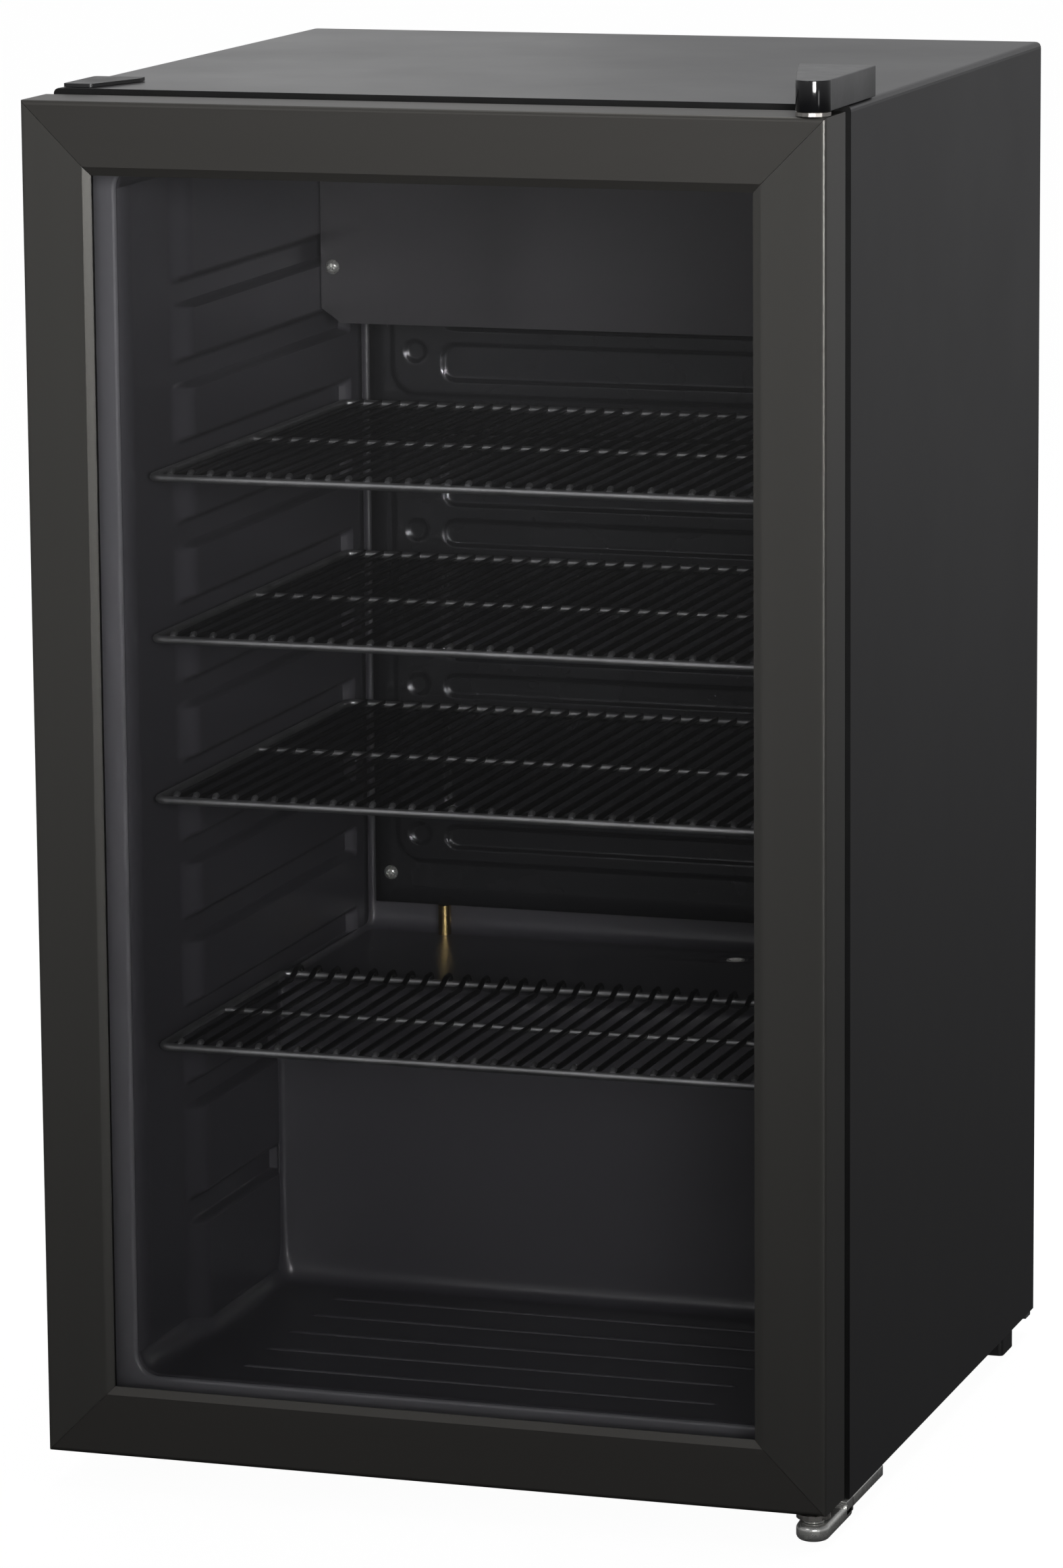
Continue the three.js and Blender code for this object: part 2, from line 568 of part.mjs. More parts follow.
function liquidLineGeometry() {
  const drierTop = DRIER_BOTTOM + DRIER_LENGTH;
  return pipe([[-COIL_HALF - 2 * GAP, CONDENSER_Y, COIL_LOW], [-COIL_HALF - 6, CONDENSER_Y, COIL_LOW],
    [-COIL_HALF - 16, CONDENSER_Y, COIL_LOW - 4], [-COIL_HALF - 22, CONDENSER_Y, COIL_LOW - 16],
    [-COIL_HALF - 22, fromDoor(506), 212], [-COIL_HALF - 16, fromDoor(488), 192],
    [DRIER_X - 1, fromDoor(458), drierTop + 22], [DRIER_X, DRIER_Y, drierTop + 10],
    [DRIER_X, DRIER_Y, drierTop + 2 * GAP]], 2.2, 6, 22);
}

function filterDrierGeometry() {
  const full = DRIER_LENGTH;
  return lathe([[0, 0], [3, 0], [3, 10], [9, 18], [9, full - 18], [3, full - 10], [3, full],
    [0, full]], 10);
}

function drainTubeGeometry() {
  const tube = cylinder([DRAIN_X, DRAIN_Y, 208], [DRAIN_X, DRAIN_Y, HUMP_TOP - 0.2], DRAIN_RADIUS, 12);
  const bore = cylinder([DRAIN_X, DRAIN_Y, 200], [DRAIN_X, DRAIN_Y, 260], DRAIN_RADIUS - 1.5, 12);
  return cut(tube, bore);
}

function evaporationTrayGeometry() {
  const x = [COMPRESSOR_X - 70, COMPRESSOR_X + 70];
  const y = [COMPRESSOR_Y - 50, COMPRESSOR_Y + 50];
  const outer = extrudeZ(roundRect(x[0], x[1], y[0], y[1], 8), 182, 204);
  const inner = extrudeZ(roundRect(x[0] + 2, x[1] - 2, y[0] + 2, y[1] - 2, 6), 184, 210);
  return cut(outer, inner);
}

function cordGlandGeometry() {
  const profile = [[3.6, 0], [GLAND_RADIUS, 0], [GLAND_RADIUS, 4], [11, 4], [11, 7], [7, 9], [3.6, 9],
    [3.6, 0]];
  return lathe(profile, 12).rotateX(-Math.PI / 2);
}

// ---------------------------------------------------------------- control box
function controlBoxGeometry() {
  const shell = extrudeX(roundRect(BOX_Y[0], BOX_Y[1], BOX_Z[0], BOX_Z[1], 5), BOX_X[0], BOX_X[1]);
  const inside = box([BOX_X[0] + 2, BOX_X[1] + 5], [BOX_Y[0] + 2, BOX_Y[1] - 2],
    [BOX_Z[0] + 2, BOX_Z[1] - 2]);
  const rocker = box([BOX_X[0] - 5, BOX_X[0] + 5], [SWITCH_PLACE[1] - 6.5, SWITCH_PLACE[1] + 6.5],
    [SWITCH_PLACE[2] - 10.5, SWITCH_PLACE[2] + 10.5]);
  const lens = box([BOX_X[0] - 5, BOX_X[0] + 5], [BOX_Y[1] - 34, BOX_Y[1] - 8],
    [BOX_Z[0] + 8, BOX_Z[1] - 8]);
  const bore = cylinder([BOX_X[0] - 5, KNOB_PLACE[1], KNOB_PLACE[2]],
    [BOX_X[0] + 5, KNOB_PLACE[1], KNOB_PLACE[2]], KNOB_SHAFT + 2 * GAP, 10);
  return cut(shell, inside, rocker, lens, bore);
}

function knobGeometry() {
  const dial = cylinder([0, 0, 0], [-9, 0, 0], 14, 20);
  const grip = box([-15, -8], [-3, 3], [-13, 13]);
  const shaft = cylinder([-1, 0, 0], [10, 0, 0], KNOB_SHAFT, 10);
  return join(dial, grip, shaft);
}

function rockerGeometry() {
  const tilt = THREE.MathUtils.degToRad(6);
  return box([-3, 5], [-6, 6], [-9.4, 9.4]).rotateY(tilt);
}

function lensGeometry() {
  return box([BOX_X[0] - 1.5, BOX_X[0] + 1.7], [BOX_Y[1] - 34 + GAP, BOX_Y[1] - 8 - GAP],
    [BOX_Z[0] + 8 + GAP, BOX_Z[1] - 8 - GAP]);
}

// ---------------------------------------------------------------- door, drawn from its lower middle
// One mitred profile in (across, depth): a folded channel with a sloping lip at the glass.
function railSection() {
  const wall = 1.6;
  return rounded([[0, 0, 2.5], [RAIL_WIDTH - 5, 0], [RAIL_WIDTH, 1.4], [RAIL_WIDTH, 2.6],
    [RAIL_WIDTH - 5, wall], [wall, wall, 1], [wall, DOOR_DEPTH - 2.6], [9, DOOR_DEPTH - 2.6],
    [9, DOOR_DEPTH - 1], [0, DOOR_DEPTH - 1, 1]]);
}

// The region that one profile keeps after its 45 degree end cuts, in (X, Z).
function mitre(side) {
  const h = DOOR_HEIGHT;
  const w = HALF_DOOR;
  const edge = GAP / 2;
  const reach = RAIL_WIDTH + 5;
  const corners = {
    bottom: [[-w - 1 + edge, -1], [w + 1 - edge, -1], [w - reach, reach - edge],
      [-w + reach, reach - edge]],
    top: [[-w - 1 + edge, h + 1], [-w + reach, h - reach + edge], [w - reach, h - reach + edge],
      [w + 1 - edge, h + 1]],
    left: [[-w - 1, -1 + edge], [-w + reach - edge, reach], [-w + reach - edge, h - reach],
      [-w - 1, h + 1 - edge]],
    right: [[w + 1, -1 + edge], [w + 1, h + 1 - edge], [w - reach + edge, h - reach],
      [w - reach + edge, reach]],
  };
  return extrudeY(outline(corners[side]), -5, DOOR_DEPTH + 5);
}

function railGeometry(side) {
  const length = side === 'top' || side === 'bottom' ? WIDTH : DOOR_HEIGHT;
  // For each side: where the profile's across and length directions point, and where it starts.
  const lay = {
    bottom: { across: [0, 0, 1], along: [-1, 0, 0], start: [HALF_DOOR, 0, 0] },
    top: { across: [0, 0, -1], along: [1, 0, 0], start: [-HALF_DOOR, 0, DOOR_HEIGHT] },
    left: { across: [1, 0, 0], along: [0, 0, 1], start: [-HALF_DOOR, 0, 0] },
    right: { across: [-1, 0, 0], along: [0, 0, -1], start: [HALF_DOOR, 0, DOOR_HEIGHT] },
  }[side];
  const turn = new THREE.Matrix4().makeBasis(
    new THREE.Vector3(...lay.across), new THREE.Vector3(0, 1, 0), new THREE.Vector3(...lay.along));
  const bar = extrude(railSection(), length).applyMatrix4(turn).translate(...lay.start);
  const piece = common(bar, mitre(side));
  if (side === 'left' || side === 'right') return piece;
  const pinX = HINGE_X;
  const pinY = HINGE_Y - fromDoor(0);
  const [low, high] = side === 'bottom' ? [-5, 20] : [DOOR_HEIGHT - 20, DOOR_HEIGHT + 5];
  return cut(piece, cylinder([pinX, pinY, low], [pinX, pinY, high], 6.6, 12));
}

function doorRing(inner, outer, y0, y1) {
  const ring = ringShape(-HALF_DOOR + outer, HALF_DOOR - outer, outer, DOOR_HEIGHT - outer, inner - outer);
  return extrudeY(ring, y0, y1);
}

function innerFrameGeometry() {
  const back = doorRing(25, 1.9, 22.3, DOOR_DEPTH - 3);
  const rim = doorRing(15.5, 1.9, 2, 23);
  const lip = doorRing(25, 9.3, DOOR_DEPTH - 4, DOOR_DEPTH - 0.6);
  const pinY = HINGE_Y - fromDoor(0);
  const bores = [[-5, 22], [DOOR_HEIGHT - 22, DOOR_HEIGHT + 5]].map(([low, high]) => cylinder(
    [HINGE_X, pinY, low], [HINGE_X, pinY, high], 6.6, 12));
  return cut(join(back, rim, lip), ...bores);
}

function paneGeometry(y0, y1) {
  const edge = 16;
  return box([-HALF_DOOR + edge, HALF_DOOR - edge], [y0, y1], [edge, DOOR_HEIGHT - edge]);
}

// ---------------------------------------------------------------- wire shelves
// Drawn from the middle of the front wire: a frame with one cross wire and a row of grid wires.
function shelfGeometry(depth) {
  const grille = extrudeZ(roundRect(-SHELF_HALF, SHELF_HALF, 0, depth, 6), 0, FRAME_WIRE);
  const bays = [[FRAME_WIRE, depth / 2 - 2], [depth / 2 + 2, depth - FRAME_WIRE]];
  const edge = SHELF_HALF - FRAME_WIRE + GRID_WIRE / 2;
  const wires = Array.from({ length: GRID_COUNT }, (_, i) => (i - (GRID_COUNT - 1) / 2) * GRID_PITCH);
  const lines = [-edge, ...wires, edge];
  const slots = [];
  lines.slice(1).forEach((x, i) => bays.forEach((bay) => slots.push(
    box([lines[i] + GRID_WIRE / 2, x - GRID_WIRE / 2], bay, [-1, FRAME_WIRE + 1]))));
  return cut(grille, ...slots);
}

// ---------------------------------------------------------------- assembly
function buildCabinet() {
  const cabinet = new THREE.Group();
  model.add(cabinet);
  place(cabinet, 'outer_wrapper', wrapperGeometry(), FINISH.body());
  place(cabinet, 'back_panel', backPanelGeometry(), FINISH.galvanised());
  place(cabinet, 'bottom_deck', bottomDeckGeometry(), FINISH.galvanised());
  place(cabinet, 'insulation_foam', foamGeometry(), FINISH.foam());
  const liner = linerGeometry();
  linerParts(liner).forEach(([name, geometry]) => place(cabinet, name, geometry, FINISH.liner()));

  place(cabinet, 'rear_foot_left', rearFootGeometry(-1), FINISH.black());
  place(cabinet, 'rear_foot_right', rearFootGeometry(1), FINISH.black());
  FOOT_PLACES.forEach(([x, y]) => place(cabinet, x < 0 ? 'front_foot_left' : 'front_foot_right',
    levellingFootGeometry(), FINISH.black(), [x, y, 0]));

  place(cabinet, 'upper_hinge_cover', upperCoverGeometry(), FINISH.black());
  place(cabinet, 'upper_hinge_bracket', upperBracketGeometry(), FINISH.galvanised());
  place(cabinet, 'lower_hinge_bracket', lowerBracketGeometry(), FINISH.chrome());
  place(cabinet, 'lower_hinge_pin', lowerPinGeometry(), FINISH.chrome());
  place(cabinet, 'hinge_hole_cover', hingeHoleCoverGeometry(), FINISH.black());
}

function buildCooling() {
  const cooling = new THREE.Group();
  model.add(cooling);
  place(cooling, 'evaporator_plate', evaporatorGeometry(), FINISH.evaporator());
  const evaporatorShank = LINER_BACK - EVAPORATOR_FRONT - GAP;
  [[-178, 'left'], [178, 'right']].forEach(([x, side]) => place(cooling, `evaporator_screw_${side}`,
    faceScrewGeometry(evaporatorShank + GAP), FINISH.chrome(), [x, LINER_BACK - GAP, 287]));
  place(cooling, 'evaporator_cover', evaporatorCoverGeometry(), FINISH.darkSheet());
  [[-187.5, 'left'], [187.5, 'right']].forEach(([x, side]) => place(cooling, `cover_screw_${side}`,
    faceScrewGeometry(12), FINISH.chrome(), [x, fromDoor(380.5) - GAP + 12, 687.5]));
  place(cooling, 'suction_tube', suctionTubeGeometry(), FINISH.brass());
  place(cooling, 'drain_tube', drainTubeGeometry(), FINISH.whitePlastic());

  place(cooling, 'compressor', compressorGeometry(), FINISH.black());
  place(cooling, 'compressor_base_plate', basePlateGeometry(), FINISH.galvanised());
  let mount = 1;
  [-80, 80].forEach((dx) => [-38, 38].forEach((dy) => {
    place(cooling, `compressor_mount_${mount}`,
      lathe([[0, 0], [10, 0], [7, 6], [10, 12], [0, 12]], 10), FINISH.rubber(),
      [COMPRESSOR_X + dx, COMPRESSOR_Y + dy, BASE_TOP + GAP]);
    mount += 1;
  }));
  place(cooling, 'start_relay_cover', box([COMPRESSOR_X + 63.6, COMPRESSOR_X + 92],
    [COMPRESSOR_Y - 30, COMPRESSOR_Y - 2], [66, 124]), FINISH.whitePlastic());
  place(cooling, 'condenser_coil', condenserGeometry(), FINISH.black());
  [[-150, 'left'], [150, 'right']].forEach(([x, side]) => place(cooling, `condenser_bracket_${side}`,
    box([x - 7, x + 7], [CABINET_BACK + GAP, CONDENSER_Y - TUBE / 2 - GAP], [232, 790]),
    FINISH.galvanised()));
  place(cooling, 'discharge_pipe', dischargePipeGeometry(), FINISH.copper());
  place(cooling, 'filter_drier', filterDrierGeometry(), FINISH.copper(), [DRIER_X, DRIER_Y, DRIER_BOTTOM]);
  place(cooling, 'liquid_line', liquidLineGeometry(), FINISH.copper());
  place(cooling, 'evaporation_tray', evaporationTrayGeometry(), FINISH.black());
  place(cooling, 'cord_gland', cordGlandGeometry(), FINISH.rubber(),
    [GLAND_X, CABINET_BACK - 4 + GAP, GLAND_Z]);
}

function buildControls() {
  const controls = new THREE.Group();
  model.add(controls);
  place(controls, 'thermostat_housing', controlBoxGeometry(), FINISH.whitePlastic());
  place(controls, 'thermostat_knob', knobGeometry(), FINISH.whitePlastic(), KNOB_PLACE);
  place(controls, 'light_switch', rockerGeometry(), FINISH.black(), SWITCH_PLACE);
  place(controls, 'lamp_lens', lensGeometry(), FINISH.lens());
}

function buildDoor() {
  const door = new THREE.Group();
  door.position.set(0, fromDoor(0), DOOR_BOTTOM);
  model.add(door);
  ['top', 'bottom', 'left', 'right'].forEach((side) => place(door, `door_frame_${side}`,
    railGeometry(side), FINISH.doorSteel()));
  place(door, 'door_inner_frame', innerFrameGeometry(), FINISH.black());
  place(door, 'outer_glass', paneGeometry(2.9, 6.9), FINISH.glass());
  place(door, 'glass_spacer', doorRing(26.5, 17, 7.2, 18.2), FINISH.galvanised());
  place(door, 'inner_glass', paneGeometry(18.5, 22), FINISH.glass());
  place(door, 'door_gasket', doorRing(24.5, 12, DOOR_DEPTH - 0.3, 51.7), FINISH.rubber());
  const hinge = new THREE.Group();
  model.add(hinge);
  place(hinge, 'upper_door_bushing', doorBushingGeometry(true), FINISH.galvanised());
  place(hinge, 'lower_door_bushing', doorBushingGeometry(false), FINISH.black());
}

function buildShelves() {
  const shelves = new THREE.Group();
  model.add(shelves);
  const levels = [ledge(6), ledge(4), ledge(2)];
  levels.forEach((z, i) => place(shelves, `shelf_${i + 1}`, shelfGeometry(FULL_SHELF_DEPTH),
    FINISH.black(), [0, SHELF_FRONT, z + GAP]));
  place(shelves, 'shelf_4', shelfGeometry(SHORT_SHELF_DEPTH), FINISH.black(),
    [0, SHELF_FRONT, SHORT_LEVELS[0] + GAP]);
}

buildCabinet();
buildCooling();
buildControls();
buildDoor();
buildShelves();

export default model;
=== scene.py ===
"""Looks of a glass door merchandiser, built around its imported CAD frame."""

import math

import bpy
from mathutils import Matrix, Vector


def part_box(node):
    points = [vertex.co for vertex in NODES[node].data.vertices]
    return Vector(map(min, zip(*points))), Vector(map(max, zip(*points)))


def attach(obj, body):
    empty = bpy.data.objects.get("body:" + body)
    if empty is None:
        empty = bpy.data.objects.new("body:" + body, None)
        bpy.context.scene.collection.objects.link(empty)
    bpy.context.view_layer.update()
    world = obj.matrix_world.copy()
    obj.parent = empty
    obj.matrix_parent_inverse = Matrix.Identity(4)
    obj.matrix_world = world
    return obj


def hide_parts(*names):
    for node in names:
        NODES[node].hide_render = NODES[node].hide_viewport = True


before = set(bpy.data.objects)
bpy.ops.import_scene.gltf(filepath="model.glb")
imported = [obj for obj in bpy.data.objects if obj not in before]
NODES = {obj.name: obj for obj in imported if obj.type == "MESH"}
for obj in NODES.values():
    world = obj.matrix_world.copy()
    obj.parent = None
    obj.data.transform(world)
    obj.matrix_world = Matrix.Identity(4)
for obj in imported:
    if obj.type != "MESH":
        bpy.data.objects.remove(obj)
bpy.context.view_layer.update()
# One millimetre in metres. Lengths are in millimetres from here on, unless a comment says metres.
MM = 0.001
# Thickness of the liner and the evaporator plate.
SHEET = 1.2


# ---------------------------------------------------------------- node helpers
def link(tree, source, target):
    tree.links.new(source, target)


def new_tree(name):
    material = bpy.data.materials.new(name)
    material.use_nodes = True
    tree = material.node_tree
    tree.nodes.clear()
    output = tree.nodes.new("ShaderNodeOutputMaterial")
    return material, tree, output


def noise(tree, scale, detail=3.0, stretch=(1, 1, 1), roughness=0.5, offset=(0, 0, 0)):
    """Noise in the object's own metres; stretch below 1 draws it out along that axis."""
    coord = tree.nodes.new("ShaderNodeTexCoord")
    mapping = tree.nodes.new("ShaderNodeMapping")
    mapping.inputs["Scale"].default_value = stretch
    mapping.inputs["Location"].default_value = offset
    texture = tree.nodes.new("ShaderNodeTexNoise")
    texture.inputs["Scale"].default_value = scale
    texture.inputs["Detail"].default_value = detail
    texture.inputs["Roughness"].default_value = roughness
    link(tree, coord.outputs["Object"], mapping.inputs["Vector"])
    link(tree, mapping.outputs["Vector"], texture.inputs["Vector"])
    return texture.outputs["Fac"]


def spread(tree, value, low, high, start=0.3, end=0.7):
    """Maps a noise value's middle range onto low..high."""
    ranged = tree.nodes.new("ShaderNodeMapRange")
    ranged.inputs["From Min"].default_value = start
    ranged.inputs["From Max"].default_value = end
    ranged.inputs["To Min"].default_value = low
    ranged.inputs["To Max"].default_value = high
    link(tree, value, ranged.inputs["Value"])
    return ranged.outputs["Result"]


def blend_colours(tree, factor, first, second):
    mix = tree.nodes.new("ShaderNodeMix")
    mix.data_type = "RGBA"
    link(tree, factor, mix.inputs["Factor"])
    for socket, colour in ((mix.inputs[6], first), (mix.inputs[7], second)):
        if isinstance(colour, tuple):
            socket.default_value = (*colour, 1)
        else:
            link(tree, colour, socket)
    return mix.outputs[2]


def bump(tree, height, distance, under=None):
    """A bump of the given height in metres, laid over another one if there is one under it."""
    node = tree.nodes.new("ShaderNodeBump")
    node.inputs["Distance"].default_value = distance
    node.inputs["Strength"].default_value = 1.0
    link(tree, height, node.inputs["Height"])
    if under is not None:
        link(tree, under, node.inputs["Normal"])
    return node.outputs["Normal"]


def scaled(colour, factor):
    return tuple(min(1.0, c * factor) for c in colour)


FINISHES = {}


def finish(name, colour, roughness, metallic=0.0, specular=0.5, coat=0.0, mottle=(6, 0.12),
           grain=(900, 0.00003), waves=None, stretch=(1, 1, 1), vary=0.06, dust=None):
    """A finish with cloudy colour, uneven gloss, a fine surface grain and, if given, broad waves.

    mottle is (scale, share), grain and waves are (scale, height in metres), and dust is
    (scale, threshold, colour).
    """
    material, tree, output = new_tree(name)
    shader = tree.nodes.new("ShaderNodeBsdfPrincipled")
    shader.inputs["Metallic"].default_value = metallic
    shader.inputs["Specular IOR Level"].default_value = specular
    shader.inputs["Coat Weight"].default_value = coat
    shader.inputs["Coat Roughness"].default_value = 0.08
    scale, amount = mottle
    cloud = spread(tree, noise(tree, scale, 5, stretch), 0, 1)
    base = blend_colours(tree, cloud, scaled(colour, 1 - amount), scaled(colour, 1 + amount))
    if dust:
        dust_scale, threshold, dust_colour = dust
        speck = spread(tree, noise(tree, dust_scale, 2, (1, 1, 1), 0.7, (3, 1, 7)), 0, 1,
                       threshold, threshold + 0.08)
        base = blend_colours(tree, speck, base, dust_colour)
    link(tree, base, shader.inputs["Base Color"])
    grain_scale, grain_height = grain
    fine = noise(tree, grain_scale, 3, stretch, 0.6, (0.3, 0.7, 0.1))
    uneven = spread(tree, noise(tree, scale * 2.7, 4, stretch, 0.6, (5, 2, 4)),
                    roughness - vary, roughness + vary)
    link(tree, uneven, shader.inputs["Roughness"])
    normal = bump(tree, fine, grain_height)
    if waves:
        wave_scale, wave_height = waves
        broad = noise(tree, wave_scale, 2, (1, 1, 1), 0.4, (2, 9, 4))
        normal = bump(tree, broad, wave_height, normal)
    link(tree, normal, shader.inputs["Normal"])
    link(tree, shader.outputs[0], output.inputs["Surface"])
    FINISHES[name] = material


GLASS_HEAD_ON = 0.014
GLASS_CLEAREST, GLASS_HAZIEST = (0.98, 0.98, 0.98), (0.97, 0.97, 0.97)


def glass_finish():
    """Clear float glass that lets light and shadow rays straight through, with faint uneven haze."""
    material, tree, output = new_tree("glass")
    clear = tree.nodes.new("ShaderNodeBsdfTransparent")
    haze = spread(tree, noise(tree, 9, 4, (1, 1, 0.4)), 0, 1)
    link(tree, blend_colours(tree, haze, GLASS_CLEAREST, GLASS_HAZIEST), clear.inputs["Color"])
    mirror = tree.nodes.new("ShaderNodeBsdfGlossy")
    mirror.inputs["Color"].default_value = (1, 1, 1, 1)
    mirror.inputs["Roughness"].default_value = 0.0
    # The Fresnel node makes a full mirror of the back faces, since this glass does not bend the
    # ray. So the mirror's share follows the facing angle alone.
    facing = tree.nodes.new("ShaderNodeLayerWeight")
    facing.inputs["Blend"].default_value = 0.5
    grazing = tree.nodes.new("ShaderNodeMath")
    grazing.operation = "POWER"
    grazing.inputs[1].default_value = 5.0
    link(tree, facing.outputs["Facing"], grazing.inputs[0])
    share = spread(tree, grazing.outputs[0], GLASS_HEAD_ON, 1.0, 0.0, 1.0)
    mix = tree.nodes.new("ShaderNodeMixShader")
    link(tree, share, mix.inputs[0])
    link(tree, clear.outputs[0], mix.inputs[1])
    link(tree, mirror.outputs[0], mix.inputs[2])
    link(tree, mix.outputs[0], output.inputs["Surface"])
    FINISHES["glass"] = material


finish("body_paint", (0.014, 0.0137, 0.015), 0.34, 0.0, 0.5, mottle=(3, 0.04),
       grain=(1400, 0.00002), waves=(4, 0.00005), vary=0.02)
# Rails and stiles are one brushed steel with its grain along each piece; the stiles' base colour is
# about twice the rails', painting the brighter light and reflection the stiles catch.
finish("door_steel_x", (0.064, 0.0615, 0.0575), 0.42, 0.85, mottle=(40, 0.012),
       grain=(700, 0.000003), stretch=(0.02, 1, 1), vary=0.008)
finish("door_steel_z", (0.122, 0.119, 0.1115), 0.26, 0.85, mottle=(40, 0.012),
       grain=(700, 0.000003), stretch=(1, 1, 0.02), vary=0.008)
# liner_mouth is a lighter copy of the liner finish below it: painted light on the front flange and the
# mouth's rounded edge.
finish("liner_mouth", (0.115, 0.113, 0.124), 0.22, 0.0, 0.5, mottle=(7, 0.04),
       grain=(1600, 0.00001), vary=0.03)
finish("liner", (0.0395, 0.0383, 0.0442), 0.33, 0.0, 0.5, mottle=(7, 0.03),
       grain=(1600, 0.00001), waves=(9, 0.00006), vary=0.01)
finish("galvanised", (0.42, 0.43, 0.44), 0.36, 1.0, mottle=(60, 0.16), grain=(500, 0.00002),
       vary=0.1)
finish("dark_sheet", (0.07, 0.068, 0.073), 0.2, 0.6, mottle=(5, 0.1), grain=(1200, 0.00001),
       waves=(5, 0.0003), vary=0.05)
finish("evaporator", (0.028, 0.028, 0.031), 0.25, 0.6, mottle=(14, 0.04), grain=(900, 0.00001),
       waves=(14, 0.00003), vary=0.015)
finish("black_plastic", (0.007, 0.007, 0.0073), 0.42, mottle=(20, 0.15), grain=(2200, 0.00004))
finish("gloss_black", (0.004, 0.004, 0.0045), 0.12, 0.0, 0.3, coat=0.3, mottle=(20, 0.1),
       grain=(800, 0.000008), vary=0.04)
finish("hinge_top", (0.08, 0.08, 0.082), 0.5, mottle=(30, 0.1), grain=(2600, 0.00005))
finish("rubber", (0.005, 0.005, 0.005), 0.62, 0.0, 0.15, mottle=(30, 0.2),
       grain=(1500, 0.00006))
finish("foam", (0.62, 0.5, 0.22), 0.85, mottle=(50, 0.15), grain=(700, 0.0004))
glass_finish()
finish("spacer", (0.1, 0.1, 0.105), 0.3, 0.9, mottle=(40, 0.1), grain=(700, 0.00001))
finish("chrome", (0.6, 0.6, 0.58), 0.26, 0.8, mottle=(60, 0.1), grain=(300, 0.00002), vary=0.08)
finish("bushing_metal", (0.5, 0.48, 0.45), 0.3, 1.0, mottle=(90, 0.2))
finish("brass", (0.55, 0.4, 0.17), 0.22, 1.0, mottle=(70, 0.25), grain=(400, 0.00002),
       stretch=(1, 1, 0.2))
finish("copper", (0.6, 0.29, 0.17), 0.28, 1.0, mottle=(40, 0.25), grain=(500, 0.00002))
finish("white_plastic", (0.7, 0.7, 0.67), 0.38, mottle=(12, 0.04), grain=(1800, 0.00003))
finish("lens", (0.78, 0.8, 0.82), 0.22, coat=0.5, mottle=(60, 0.05), grain=(450, 0.0003))
finish("compressor_paint", (0.012, 0.012, 0.013), 0.3, 0.0, coat=0.3, mottle=(18, 0.2),
       grain=(500, 0.00008))
finish("condenser_paint", (0.014, 0.014, 0.015), 0.42, mottle=(25, 0.2), grain=(900, 0.00005),
       dust=(40, 0.55, (0.06, 0.055, 0.05)))
# The shelf's rods and frame are one coated wire: shelf_grid is a far darker copy that paints shade on
# the rods' tops, and shelf_wire a lighter one that paints light on the frame, cross bar and rod tips.
finish("shelf_grid", (0.03, 0.03, 0.032), 0.36, 1.0, coat=0.15, mottle=(30, 0.15),
       grain=(900, 0.00003))
finish("shelf_wire", (0.3, 0.3, 0.308), 0.48, 1.0, coat=0.2, mottle=(30, 0.15),
       grain=(900, 0.00003))


# ---------------------------------------------------------------- mesh helpers
def make(name, body, slot, vertices, faces, smooth=35, finish_name=None, replaces=()):
    """A mesh riding on a body; smooth is the sharpest angle in degrees that is shaded round."""
    mesh = bpy.data.meshes.new(name)
    mesh.from_pydata([tuple(c * MM for c in v) for v in vertices], [], faces)
    mesh.validate()
    piece = bpy.data.objects.new(name, mesh)
    bpy.context.scene.collection.objects.link(piece)
    shade(piece, smooth)
    mesh.materials.append(FINISHES[finish_name or slot])
    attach(piece, body)
    if replaces:
        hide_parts(*replaces)
    return piece


def shade(piece, angle):
    mesh = piece.data
    mesh.polygons.foreach_set("use_smooth", [angle > 0] * len(mesh.polygons))
    if 0 < angle < 180:
        mesh.set_sharp_from_angle(angle=math.radians(angle))


def bevel(piece, width):
    modifier = piece.modifiers.new("bevel", "BEVEL")
    modifier.width = width * MM
    modifier.segments = 2
    modifier.limit_method = "ANGLE"
    modifier.angle_limit = math.radians(40)
    modifier.harden_normals = True


def thicken(piece):
    """Gives an open sheet the thickness of the liner and the plates."""
    wall = piece.modifiers.new("wall", "SOLIDIFY")
    wall.thickness = SHEET * MM
    wall.offset = -1


def sweep(points, radius, sides=8, closed=False):
    """Vertices and faces of a round tube along the points."""
    path = [Vector(p) for p in points]
    count = len(path)
    if closed:
        tangents = [(path[(i + 1) % count] - path[i - 1]).normalized() for i in range(count)]
    else:
        tangents = [(path[min(i + 1, count - 1)] - path[max(i - 1, 0)]).normalized()
                    for i in range(count)]
    side = tangents[0].orthogonal().normalized()
    vertices, faces = [], []
    for point, along in zip(path, tangents):
        side = (side - along * side.dot(along)).normalized()
        across = along.cross(side)
        for k in range(sides):
            angle = 2 * math.pi * k / sides
            vertices.append(point + (side * math.cos(angle) + across * math.sin(angle)) * radius)
    rings = count if closed else count - 1
    for i in range(rings):
        first, second = i * sides, ((i + 1) % count) * sides
        for k in range(sides):
            n = (k + 1) % sides
            faces.append((first + k, first + n, second + n, second + k))
    if not closed:
        faces.append(tuple(reversed(range(sides))))
        faces.append(tuple(range((count - 1) * sides, count * sides)))
    return vertices, faces


def gather(parts):
    """Joins several (vertices, faces) into one."""
    vertices, faces = [], []
    for part_vertices, part_faces in parts:
        start = len(vertices)
        vertices.extend(part_vertices)
        faces.extend(tuple(i + start for i in face) for face in part_faces)
    return vertices, faces


# Half of a corner's angle, in radians, above which round_path leaves it alone.
NEARLY_STRAIGHT = 1.56


